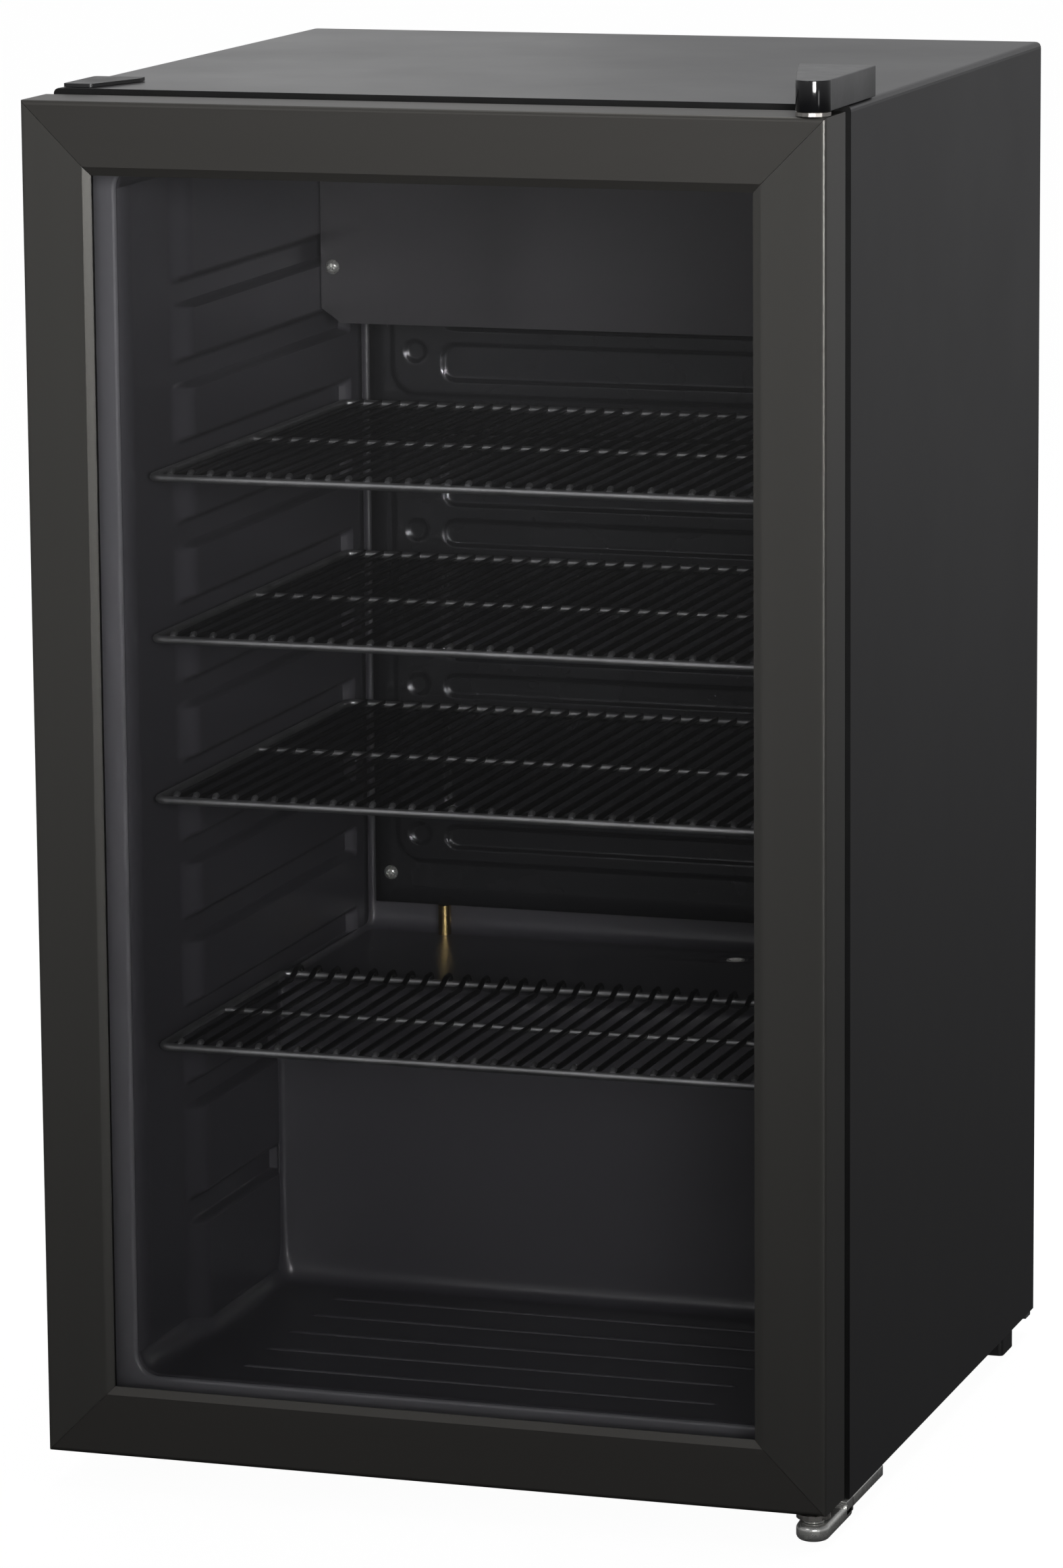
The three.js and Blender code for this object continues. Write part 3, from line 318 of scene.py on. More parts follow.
def round_path(points, radius, steps=5):
    """The points with each inner corner turned into an arc."""
    path = [Vector(points[0])]
    for before, here, after in zip(points, points[1:], points[2:]):
        here = Vector(here)
        back, on = Vector(before) - here, Vector(after) - here
        half = back.angle(on) / 2
        if half > NEARLY_STRAIGHT:
            path.append(here)
            continue
        reach = min(radius / math.tan(half), back.length * 0.49, on.length * 0.49)
        start, end = here + back.normalized() * reach, here + on.normalized() * reach
        for k in range(steps + 1):
            t = k / steps
            path.append(start * (1 - t) ** 2 + here * 2 * t * (1 - t) + end * t ** 2)
    path.append(Vector(points[-1]))
    return path


def ring_faces(rings, count):
    """Quads between closed rings of count vertices each."""
    return [(i * count + k, i * count + (k + 1) % count, (i + 1) * count + (k + 1) % count,
             (i + 1) * count + k) for i in range(rings - 1) for k in range(count)]


def lathe(profile, centre, sides=40, axis="Z"):
    """A turned body: profile is (radius, height) from one end of the axis to the other."""
    vertices = []
    for radius, height in profile:
        for k in range(sides):
            angle = 2 * math.pi * k / sides
            x, y = radius * math.cos(angle), radius * math.sin(angle)
            local = {"Z": (x, y, height), "Y": (x, height, -y), "X": (height, x, y)}[axis]
            vertices.append(tuple(a + b for a, b in zip(centre, local)))
    faces = ring_faces(len(profile), sides)
    faces.append(tuple(reversed(range(sides))))
    faces.append(tuple(range((len(profile) - 1) * sides, len(profile) * sides)))
    return vertices, faces


def round_profile(points, radius, steps=4):
    """A lathe or outline profile with its inner corners rounded."""
    flat = round_path([(a, b, 0) for a, b in points], radius, steps)
    return [(p.x, p.y) for p in flat]


def prism(outline, low, high):
    """A closed outline of (x, y) carried from low to high."""
    count = len(outline)
    vertices = [(a, b, low) for a, b in outline] + [(a, b, high) for a, b in outline]
    faces = [(i, (i + 1) % count, count + (i + 1) % count, count + i) for i in range(count)]
    faces += [tuple(reversed(range(count))), tuple(range(count, 2 * count))]
    return vertices, faces


def sheet_grid(rows, columns, point):
    """A grid of quads; point(i, j) gives each vertex."""
    vertices = [point(i, j) for i in range(rows) for j in range(columns)]
    faces = [(i * columns + j, i * columns + j + 1, (i + 1) * columns + j + 1, (i + 1) * columns + j)
             for i in range(rows - 1) for j in range(columns - 1)]
    return vertices, faces


def edges(node):
    """A CAD node's lowest and highest corner, in millimetres."""
    low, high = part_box(node)
    return low / MM, high / MM


# ---------------------------------------------------------------- finishes on the CAD nodes that stay
KEPT = {
    "body_paint": ["outer_wrapper"],
    "galvanised": ["back_panel", "bottom_deck", "upper_hinge_bracket", "compressor_base_plate"],
    "foam": ["insulation_foam"],
    "dark_sheet": ["evaporator_cover"],
    "black_plastic": ["hinge_hole_cover", "rear_foot_left", "rear_foot_right", "evaporation_tray",
                      "light_switch", "door_inner_frame"],
    "white_plastic": ["thermostat_housing", "start_relay_cover", "drain_tube"],
    "bushing_metal": ["upper_door_bushing", "lower_door_bushing"],
    "lens": ["lamp_lens"],
    "glass": ["outer_glass", "inner_glass"],
    "spacer": ["glass_spacer"],
    "door_steel_x": ["door_frame_top", "door_frame_bottom"],
    "door_steel_z": ["door_frame_left", "door_frame_right"],
}
NODE_BEVEL = {"outer_wrapper": 0.25, "evaporator_cover": 0.35, "door_inner_frame": 0.5,
              "hinge_hole_cover": 0.5, "rear_foot_left": 1.2, "rear_foot_right": 1.2,
              "evaporation_tray": 0.6, "thermostat_housing": 0.8, "light_switch": 1.0,
              "start_relay_cover": 2.0, "lamp_lens": 0.4, "back_panel": 0.2}


def finish_nodes():
    for name, node in NODES.items():
        if node.hide_render:
            continue
        chosen = next((f for f, members in KEPT.items() if name in members), "black_plastic")
        node.data.materials.clear()
        node.data.materials.append(FINISHES[chosen])
        shade(node, 12 if name.startswith("door_frame") else 35)
        if name in NODE_BEVEL:
            bevel(node, NODE_BEVEL[name])
    # The wrapper's painted front faces take the near-black rubber finish: painted shade in the gap
    # behind the door.
    wrapper = NODES["outer_wrapper"]
    wrapper.data.materials.append(FINISHES["rubber"])
    front = edges("outer_wrapper")[0].y + 0.5
    for polygon in wrapper.data.polygons:
        corners = [wrapper.matrix_world @ wrapper.data.vertices[i].co for i in polygon.vertices]
        if all(corner.y / MM < front for corner in corners):
            polygon.material_index = 1


# ---------------------------------------------------------------- wire shelves
# Rods across a shelf, and the radii of its outer frame, its cross bar and its rods.
WIRES, WIRE_PITCH = 31, 12.33
FRAME_RADIUS, CROSS_RADIUS, GRID_RADIUS = 2.4, 2.0, 1.75
FRAME_CORNER = 7


def build_shelf(number, short):
    node = f"shelf_{number}"
    low, high = edges(node)
    front, back = low.y + FRAME_RADIUS, high.y - FRAME_RADIUS
    half = high.x - FRAME_RADIUS
    level = low.z + FRAME_RADIUS
    ring = round_path([(0, front, level), (half, front, level), (half, back, level),
                       (-half, back, level), (-half, front, level), (0, front, level)], FRAME_CORNER, 6)
    parts = [sweep(ring[:-1], FRAME_RADIUS, 10, closed=True)]
    middle = (front + back) / 2 + (0 if short else 2)
    under = level - 0.4
    parts.append(sweep([(-half, middle, under), (half, middle, under)], CROSS_RADIUS, 8))
    grid_top = high.z - GRID_RADIUS
    rods = []
    for i in range(WIRES):
        x = (i - (WIRES - 1) / 2) * WIRE_PITCH
        start = [(x, front - 0.6, level + 1.4), (x, front + 1.6, grid_top), (x, front + 8, grid_top)]
        if short:
            end = [(x, back - 20, grid_top), (x, back - 9, grid_top + 4.6),
                   (x, back - 1.5, grid_top + 5.2), (x, back + 1.0, grid_top + 1.0)]
        else:
            end = [(x, back - 8, grid_top), (x, back - 1.2, grid_top), (x, back + 0.8, level + 1.2)]
        path = round_path(start + [(x, middle, grid_top)] + end, 3, 3)
        rods.append(sweep(path, GRID_RADIUS, 8))
        tip = Vector((x, front - 0.4, level + 2.2))
        parts.append(sweep([tip, tip + Vector((0, 1.2, 1.4)), tip + Vector((0, 3.4, 1.5))],
                           GRID_RADIUS + 0.12, 8))
    # The frame, cross bar and rod tips take the lighter wire finish and the rods the darker copy:
    # painted light and painted shade on one coated wire.
    make(f"{node}_frame", node, "shelf_wire", *gather(parts), smooth=60, replaces=[node])
    make(f"{node}_rods", node, "shelf_wire", *gather(rods), smooth=60, finish_name="shelf_grid")


# ---------------------------------------------------------------- liner
LINER_FRONT = -204
LINER_HALF, PAD_HALF = 203, 196
PAD_START, PAD_FULL = -122, -96
LINER_FLOOR, LINER_CEILING, HUMP_FRONT, HUMP_TOP, LINER_BACK = 56, 782, 31, 248, 204
# Shelf grooves in the side walls, as the lowest z and the y of the closed end.
GROOVE_HEIGHT = 16
GROOVES = [(302.3 + 48.4 * i, 177) for i in range(9)]
GROOVES += [(HUMP_TOP + 0.4, 177), (200, 30.5), (127, 30.5)]
# Radius of the edge round the mouth, and of the tub's long corners behind it.
LIP, CORNER = 2.6, 13
RIBS, FIRST_RIB, RIB_PITCH, RIB_HALF = 5, -166, 40, 150
# The drain hole in the hump, its dished rim and the square patch of the sheet that it sits in.
DRAIN_X, DRAIN_Y, DRAIN_BORE, DRAIN_DISH, DRAIN_PATCH = 60, 174, 4.8, 7.5, 10
DRAIN_SIDES = 24


def ease(t):
    t = min(max(t, 0.0), 1.0)
    return t * t * (3 - 2 * t)


def pad_share(y):
    return ease((y - PAD_START) / (PAD_FULL - PAD_START))


def wall_half(y, z):
    """Half width of the tub at a place: full in front of the pads and in the shelf grooves."""
    hollow = 0.0
    for low, end in GROOVES:
        if low - 4 < z < low + GROOVE_HEIGHT + 4 and y < end + 3:
            rise = ease((z - low + 2) / 4) * ease((low + GROOVE_HEIGHT + 3 - z) / 6)
            hollow = max(hollow, rise * ease((end + 3 - y) / 6))
    return LINER_HALF - (LINER_HALF - PAD_HALF) * pad_share(y) * (1 - hollow)


def places(start, stop, coarse, marks=(), reach=3, fine=1.0):
    """Sorted places from start to stop, close together near each mark."""
    found = {start, stop}
    count = max(1, round((stop - start) / coarse))
    found.update(start + (stop - start) * k / count for k in range(count + 1))
    for mark in marks:
        found.update(mark + k * fine for k in range(-reach, reach + 1))
    kept = []
    for place in sorted(p for p in found if start <= p <= stop):
        if not kept or place - kept[-1] > 0.3:
            kept.append(place)
    return kept


def facing(part, toward):
    """The part with its faces turned so that the first one looks toward a direction."""
    vertices, faces = part
    a, b, c = (Vector(vertices[i]) for i in faces[0][:3])
    if (b - a).cross(c - b).dot(Vector(toward)) < 0:
        faces = [tuple(reversed(face)) for face in faces]
    return vertices, faces


def tub_wall(side):
    ys = places(LINER_FRONT + LIP, LINER_BACK, 24, (PAD_START, -109, PAD_FULL, 30, 177), 6, 2.2)
    marks = [z for low, _ in GROOVES for z in (low, low + GROOVE_HEIGHT)]
    zs = places(LINER_FLOOR, LINER_CEILING, 12, marks, 4, 1.0)
    vertices, faces = sheet_grid(len(zs), len(ys), lambda i, j: (
        side * wall_half(ys[j], zs[i]), ys[j], zs[i]))
    kept = [face for face in faces
            if not (vertices[face[0]][1] > HUMP_FRONT + 5 and vertices[face[0]][2] < HUMP_TOP - 8)]
    return facing((vertices, kept), (-side, 0, 0))


def tub_section():
    """The tub's middle line in (y, z) with rounded corners and short steps."""
    corners = [(LINER_FRONT + LIP, LINER_FLOOR, 0), (HUMP_FRONT, LINER_FLOOR, 0),
               (HUMP_FRONT, HUMP_TOP, 0), (LINER_BACK, HUMP_TOP, 0), (LINER_BACK, LINER_CEILING, 0),
               (LINER_FRONT + LIP, LINER_CEILING, 0)]
    path = round_path(corners, 11, 8)
    steps = [path[0]]
    for before, here in zip(path, path[1:]):
        count = max(1, round((here - before).length / 6))
        part = [before.lerp(here, k / count) for k in range(1, count + 1)]
        if abs(before.y - HUMP_TOP) < 0.01 and abs(here.y - HUMP_TOP) < 0.01:
            part = [p for p in part if abs(p.x - DRAIN_Y) > DRAIN_PATCH - 1
                    and abs(p.x - DRAIN_Y - DRAIN_PATCH) > 3 and abs(p.x - DRAIN_Y + DRAIN_PATCH) > 3]
            part += [Vector((DRAIN_Y + d, HUMP_TOP, 0)) for d in (-DRAIN_PATCH, DRAIN_PATCH)]
            part.sort(key=lambda p: p.x)
        steps += part
    return steps


def tub_middle():
    """Floor, hump, back and ceiling as one sheet whose side edges curl up into the walls."""
    path = tub_section()
    turn = [math.radians(a) for a in (0, 18, 36, 54, 72, 90)]
    flat = [-150, -75, 0, DRAIN_X - DRAIN_PATCH, DRAIN_X + DRAIN_PATCH, 110, 150]
    rows = []
    for i, here in enumerate(path):
        along = (path[min(i + 1, len(path) - 1)] - path[max(i - 1, 0)]).normalized()
        inward = Vector((-along.y, along.x))
        y, z = here.x, here.y
        upright = ease((z - LINER_FLOOR - 6) / 18) * ease((LINER_CEILING - 6 - z) / 18)
        fillet = CORNER - 4 * pad_share(y) - 5.5 * upright
        half = wall_half(y, 0)
        row = []
        for side, order in ((-1, reversed(turn)), (1, turn)):
            curl = [(side * (half - fillet + fillet * math.sin(a)), fillet * (1 - math.cos(a)))
                    for a in order]
            row += curl if side < 0 else [(x, 0) for x in flat] + curl
        rows.append([(x, y + inward.x * lift, z + inward.y * lift) for x, lift in row])
    columns = len(rows[0])
    vertices, faces = sheet_grid(len(rows), columns, lambda i, j: rows[i][j])
    hole = next(face for face in faces
                if abs(vertices[face[0]][0] - DRAIN_X + DRAIN_PATCH) < 0.1
                and abs(vertices[face[1]][0] - DRAIN_X - DRAIN_PATCH) < 0.1
                and abs(vertices[face[0]][1] - DRAIN_Y + DRAIN_PATCH) < 0.1)
    faces.remove(hole)
    start = len(vertices)
    for k in range(DRAIN_SIDES):
        angle = 2 * math.pi * k / DRAIN_SIDES
        x, y = math.cos(angle), math.sin(angle)
        reach = DRAIN_PATCH / max(abs(x), abs(y))
        vertices += [(DRAIN_X + reach * x, DRAIN_Y + reach * y, HUMP_TOP),
                     (DRAIN_X + DRAIN_DISH * x, DRAIN_Y + DRAIN_DISH * y, HUMP_TOP - 0.2),
                     (DRAIN_X + DRAIN_BORE * x, DRAIN_Y + DRAIN_BORE * y, HUMP_TOP - 1.6)]
    for k in range(DRAIN_SIDES):
        a, b = start + 3 * k, start + 3 * ((k + 1) % DRAIN_SIDES)
        faces += [(a, b, b + 1, a + 1), (a + 1, b + 1, b + 2, a + 2)]
    return facing((vertices, faces), (0, 0, 1))


def round_rectangle(half, low, high, radius):
    """A rectangle in (x, z) with seven points round each corner."""
    loop = []
    for cx, cz, start in ((half, low, -90), (half, high, 0), (-half, high, 90), (-half, low, 180)):
        mx, mz = cx - math.copysign(radius, cx), cz + (radius if cz == low else -radius)
        loop += arc(mx, mz, radius, start, start + 90, 6)
    return loop


def tub_mouth():
    """The front flange and the rounded edge where it turns into the tub."""
    low, high = edges("inner_liner")
    flange = edges("inner_liner_right")[1].x
    loops = [(LINER_FRONT, round_rectangle(flange, low.z, high.z, 2))]
    for k in range(6):
        angle = math.radians(90 * k / 5)
        grow = LIP * (1 - math.sin(angle))
        loops.append((LINER_FRONT + LIP * (1 - math.cos(angle)), round_rectangle(
            LINER_HALF + grow, LINER_FLOOR - grow, LINER_CEILING + grow, CORNER + grow)))
    count = len(loops[0][1])
    vertices = [(x, y, z) for y, loop in loops for x, z in loop]
    return facing((vertices, ring_faces(len(loops), count)), (0, -1, 0))


def build_liner():
    tub = make("liner_tub", "cabinet", "liner", *gather([tub_wall(-1), tub_wall(1), tub_middle()]),
               smooth=46, replaces=["inner_liner", "inner_liner_left", "inner_liner_right"])
    # The mouth edge is the same liner sheet in the lighter liner_mouth copy, painting the light that
    # falls on the flange.
    mouth = make("liner_mouth_edge", "cabinet", "liner", *tub_mouth(), smooth=46,
                 finish_name="liner_mouth")
    for piece in (tub, mouth):
        thicken(piece)
    ribs = []
    for i in range(RIBS):
        y = FIRST_RIB + RIB_PITCH * i
        rib = [(-RIB_HALF, y, LINER_FLOOR - 2), (-RIB_HALF + 4, y, LINER_FLOOR - 0.7),
               (RIB_HALF - 4, y, LINER_FLOOR - 0.7), (RIB_HALF, y, LINER_FLOOR - 2)]
        ribs.append(sweep(round_path(rib, 3, 4), 2.0, 12))
    make("liner_floor_ribs", "cabinet", "liner", *gather(ribs), smooth=60)


# ---------------------------------------------------------------- evaporator
# Heights of the channels; the lowest and highest z of each closed loop that they make up, and
# the two channels that face each other between the loops; dimples as (x, z, radius).
CHANNELS = [301, 325, 400, 424, 498, 524, 571, 604, 637, 670, 703, 745]
LOOPS = [(296, 576), (599, 750)]
LOOP_GAP = (571, 604)
DIMPLES = [(157, level, 6.5) for level in (314, 412, 512, 627, 722)]
CHANNEL_RISE = 2.1
LOOP_HALF, LOOP_CORNER, ISLAND_HALF = 173, 17, 139
# A channel's side starts this far outside its outline and falls away over this width.
SIDE_START, SIDE_WIDTH = 1.3, 3.2


def slab_distance(a, b, half_a, half_b, radius):
    """Distance outside a rounded rectangle, negative inside."""
    a, b = abs(a) - half_a + radius, abs(b) - half_b + radius
    return math.hypot(max(a, 0), max(b, 0)) + min(max(a, b), 0) - radius


def channel_rise(x, z):
    """How far the rolled plate bulges at a place: closed loops, hollow between their channels."""
    rise = 0.0
    for low, high in LOOPS:
        outside = slab_distance(x, z - (low + high) / 2, LOOP_HALF, (high - low) / 2, LOOP_CORNER)
        rise = max(rise, ease((SIDE_START - outside) / SIDE_WIDTH))
    for below, above in zip(CHANNELS, CHANNELS[1:]):
        if above - below > 12 and (below, above) != LOOP_GAP:
            edge = slab_distance(x, z - (above + below) / 2, ISLAND_HALF, (above - below) / 2 - 4.7,
                                 min(9, (above - below) / 2 - 5))
            rise *= 1 - ease((SIDE_START - edge) / SIDE_WIDTH)
    for place, level, radius in DIMPLES:
        rise *= 1 - 0.9 * ease((radius + 1.5 - math.hypot(abs(x) - place, z - level)) / 3.0)
    return CHANNEL_RISE * rise


def build_evaporator():
    low, high = edges("evaporator_plate")
    front = high.y - 1.6
    half = high.x
    marks = [s * (151 + d) for s in (-1, 1) for d in (-20, -10, 0, 10, 20)]
    ends = places(-half, half, 22, marks, 4, 1.4)
    levels = places(low.z, high.z, 12, CHANNELS + [z + d for z in CHANNELS for d in (-6, 6)]
                    + [level + d for _, level, _ in DIMPLES for d in (-6, 0, 6)], 3, 1.3)
    grid = sheet_grid(len(levels), len(ends), lambda i, j: (
        ends[j], front - channel_rise(ends[j], levels[i]), levels[i]))
    piece = make("evaporator_panel", "cabinet", "evaporator", *facing(grid, (0, -1, 0)), smooth=180,
                 replaces=["evaporator_plate"])
    thicken(piece)


# ---------------------------------------------------------------- small turned pieces
# A screw's head radius and dome height, and half the width and length of its slots.
HEAD, DOME, SLOT_WIDE, SLOT_LONG = 4.6, 2.4, 0.95, 2.5


def cross_screw(name, node):
    """A pan head with a cross recess, facing -Y, on a plain shank."""
    low, high = edges(node)
    cx, cz = (low.x + high.x) / 2, (low.z + high.z) / 2
    front, rings, sides = low.y, 16, 64
    vertices, faces = [], []
    for i in range(rings + 1):
        radius = HEAD * i / rings
        for k in range(sides):
            angle = 2 * math.pi * k / sides
            x, z = radius * math.cos(angle), radius * math.sin(angle)
            dome = DOME * (radius / HEAD) ** 2.6
            slots = max(ease((SLOT_WIDE - abs(x)) / 0.5) * ease((SLOT_LONG - abs(z)) / 0.6),
                        ease((SLOT_WIDE - abs(z)) / 0.5) * ease((SLOT_LONG - abs(x)) / 0.6))
            vertices.append((cx + x, front + dome + 1.1 * slots, cz + z))
    for i in range(rings):
        for k in range(sides):
            n = (k + 1) % sides
            faces.append((i * sides + k, (i + 1) * sides + k, (i + 1) * sides + n, i * sides + n))
    collar = lathe([(HEAD, 0), (HEAD * 0.97, 0.45), (2.0, 0.5), (2.0, high.y - front - DOME)],
                   (cx, front + DOME, cz), sides, "Y")
    make(name, "cabinet", "chrome", *gather([(vertices, faces), collar]), smooth=40, replaces=[node])


def rounded_block(outline, low, high, radius, steps=4, axis="Z"):
    """A closed outline carried from low to high along the axis, with rounded rims.

    The outline runs anticlockwise, in (x, y) for Z, (x, z) for Y and (y, z) for X.
    """
    count = len(outline)
    points = [Vector(p) for p in outline]
    inward = []
    for i in range(count):
        along = (points[(i + 1) % count] - points[i - 1]).normalized()
        inward.append(Vector((-along.y, along.x)))
    levels = []
    for k in range(steps + 1):
        angle = math.radians(90 * k / steps)
        levels.append((low + radius * (1 - math.sin(angle)), radius * (1 - math.cos(angle))))
    levels.reverse()
    levels += [(low + high - z, inset) for z, inset in reversed(levels)]
    order = {"Z": lambda a, b, c: (a, b, c), "Y": lambda a, b, c: (a, c, b),
             "X": lambda a, b, c: (c, a, b)}[axis]
    vertices = [order(*(p + n * inset), z) for z, inset in levels for p, n in zip(points, inward)]
    last = (len(levels) - 1) * count
    faces = ring_faces(len(levels), count)
    faces += [tuple(reversed(range(count))), tuple(range(last, last + count))]
    return vertices, faces


def arc(cx, cy, radius, start, end, steps):
    return [(cx + radius * math.cos(math.radians(start + (end - start) * k / steps)),
             cy + radius * math.sin(math.radians(start + (end - start) * k / steps)))
            for k in range(steps + 1)]


# The door's axis and the radius of the covers round it.
HINGE_X, HINGE_Y, NOSE = 230, -246, 10
# Grip ridges round the feet and the knob, at one distance from their axes.
RIDGE_REACH, FOOT_RIDGES, KNOB_RIDGES = 13.9, 24, 30
THREADS, THREAD_PITCH = 15, 1.45
DIAL_DEPTH, GRIP_LENGTH = 9, 10


def build_hinges():
    low, high = edges("upper_hinge_cover")
    outline = arc(HINGE_X, HINGE_Y, NOSE, 180, 360, 28) + [(240, -200), (240, -152.2)]
    outline += [(239.6, -151.3), (238.8, -151), (196.2, -151), (195.3, -151.5), (195.1, -152.4),
                (207, -199)]
    vertices, faces = rounded_block(outline, low.z, high.z, 0.7, 3)
    piece = make("upper_hinge_cap", "cabinet", "gloss_black", vertices, faces, smooth=30,
                 replaces=["upper_hinge_cover"])
    piece.data.materials.append(FINISHES["hinge_top"])
    for polygon in piece.data.polygons:
        centre, normal = polygon.center / MM, polygon.normal
        if normal.z > 0.3 or centre.y > HINGE_Y + 3:
            polygon.material_index = 1
    low, high = edges("lower_hinge_bracket")
    arm = arc(HINGE_X, HINGE_Y, NOSE, 180, 360, 28)
    arm += [(240, -222), (240, -199), (236, -198), (218, -198), (214, -199), (218, -222)]
    plate = round_profile([(213, -200), (240, -200), (240, -128), (186, -128), (186, -200),
                           (213, -200)], 3)[:-1]
    parts = [rounded_block(arm, low.z, 14.6, 3.4, 6), rounded_block(plate, 10, high.z, 0.8, 3)]
    step = [(214, -210), (240, -210), (240, -196), (214, -196)]
    parts.append(rounded_block(step, 8, high.z, 0.8, 3))
    make("lower_hinge_arm", "cabinet", "chrome", *gather(parts), smooth=50,
         replaces=["lower_hinge_bracket"])
    foot = edges("lower_hinge_pin")[0].z
    profile = [(0.5, 0), (6.0, 0), (6.4, 0.5), (6.4, 2.0), (6.0, 2.3), (4, 2.4), (4, 20.2),
               (3.4, 21.1), (0.5, 21.1)]
    pin = lathe(profile, (HINGE_X, HINGE_Y, foot), 32)
    make("lower_hinge_post", "cabinet", "chrome", *pin, smooth=40, replaces=["lower_hinge_pin"])


def build_feet():
    for side in ("left", "right"):
        node = f"front_foot_{side}"
        low, high = edges(node)
        cx, cy = (low.x + high.x) / 2, (low.y + high.y) / 2
        profile = [(0.5, 0), (12.2, 0), (13.6, 0.5), (14, 1.8), (14, 6.0), (13.2, 7.2), (6.5, 9.2),
                   (4.3, 9.4)]
        for k in range(THREADS):
            z = 10 + THREAD_PITCH * k
            profile += [(3.5, z), (4.0, z + 0.72)]
        profile += [(3.4, 31.4), (0.5, 32)]
        body = lathe(profile, (cx, cy, low.z), 36)
        ridges = [sweep([(cx + RIDGE_REACH * math.cos(a), cy + RIDGE_REACH * math.sin(a), z)
                         for z in (1.6, 6.0)], 0.55, 6)
                  for a in (2 * math.pi * k / FOOT_RIDGES for k in range(FOOT_RIDGES))]
        make(f"{node}_screw", node, "black_plastic", *gather([body] + ridges), smooth=35,
             replaces=[node])


def build_knob():
    low, high = edges("thermostat_knob")
    cy, cz = (low.y + high.y) / 2, (low.z + high.z) / 2
    face = high.x - GRIP_LENGTH - DIAL_DEPTH
    profile = [(0.5, -6), (10.5, -6), (11.2, -5.4), (13.6, -1), (14, 0), (14, 8.2), (13.2, 9),
               (3.2, 9), (3, 18.5), (0.5, 19)]
    vertices, faces = lathe(profile, (face, cy, cz), 48, "X")
    # The part behind the face is squeezed to half its depth.
    dial = ([(x if x >= face else face + (x - face) * 0.5, y, z) for x, y, z in vertices], faces)
    grip = rounded_block([(y + cy, z + cz) for y, z in
                          arc(0, 10.2, 2.8, 0, 180, 8) + arc(0, -10.2, 2.8, 180, 360, 8)],
                         face - 6, face + 1, 1.2, 4, "X")
    ribs = [sweep([(face + out, cy + RIDGE_REACH * math.cos(a), cz + RIDGE_REACH * math.sin(a))
                   for out in (1, 8)], 0.5, 6)
            for a in (2 * math.pi * k / KNOB_RIDGES for k in range(KNOB_RIDGES))]
    make("thermostat_dial", "thermostat_knob", "white_plastic", *gather([dial, grip] + ribs),
         smooth=40, replaces=["thermostat_knob"])


# ---------------------------------------------------------------- compressor bay and back
def spline(points, steps=6):
    """A smooth line through the points."""
    path = [Vector(p) for p in points]
    ends = [path[0] * 2 - path[1]] + path + [path[-1] * 2 - path[-2]]
    line = []
    for a, b, c, d in zip(ends, ends[1:], ends[2:], ends[3:]):
        for k in range(steps):
            t = k / steps
            line.append(0.5 * (2 * b + (c - a) * t + (2 * a - 5 * b + 4 * c - d) * t ** 2
                               + (3 * b - a - 3 * c + d) * t ** 3))
    line.append(path[-1])
    return line


# The compressor's axis; the condenser's zigzag tube, its wires and its two brackets; the drier.
COMPRESSOR = (15, 148)
COIL_Y, COIL_LOW, COIL_PITCH, COIL_HALF, COIL_PASSES = 253.6, 250, 64, 190, 9
COIL_RADIUS = 2.4
COIL_WIRES, COIL_WIRE_PITCH, COIL_WIRE_Y, BRACKET_X = 20, 9.3, 250.7, 150
DRIER_X, DRIER_Y = -195, 196


def build_compressor():
    x, y = COMPRESSOR
    profile = round_profile([(0.5, 34), (50, 34), (63, 52), (63, 108), (64.2, 110), (64.2, 114),
                             (63, 116), (63, 140), (48, 172), (18, 181), (0.5, 181)], 9, 5)
    shell = lathe(profile, (x, y, 0), 64)
    foot = rounded_block([(a + x, b + y) for a, b in round_profile(
        [(0, -50), (92, -50), (92, 50), (-92, 50), (-92, -50), (0, -50)], 12, 5)[:-1]], 31, 35, 0.8, 2)
    bolts = [lathe([(0.5, 0), (5.2, 0), (5.8, 0.6), (5.8, 3.4), (5.0, 4.2), (0.5, 4.4)],
                   (x + a, y + b, 35), 6) for a in (-80, 80) for b in (-38, 38)]
    stub = sweep(round_path([(x - 30, y - 48, 120), (x - 42, y - 62, 120), (x - 42, y - 62, 150)],
                            8, 5), 3.2, 12)
    make("compressor_shell", "cabinet", "compressor_paint", *gather([shell, foot, stub] + bolts),
         smooth=35, replaces=["compressor"])
    for k in range(1, 5):
        node = f"compressor_mount_{k}"
        low, high = edges(node)
        waist = round_profile([(0.5, 0), (10, 0), (9.6, 2.5), (7, 6), (9.6, 9.5), (10, 12),
                               (0.5, 12)], 1.5, 4)
        mount = lathe(waist, ((low.x + high.x) / 2, (low.y + high.y) / 2, low.z), 32)
        make(f"{node}_grommet", "cabinet", "rubber", *mount, smooth=50, replaces=[node])


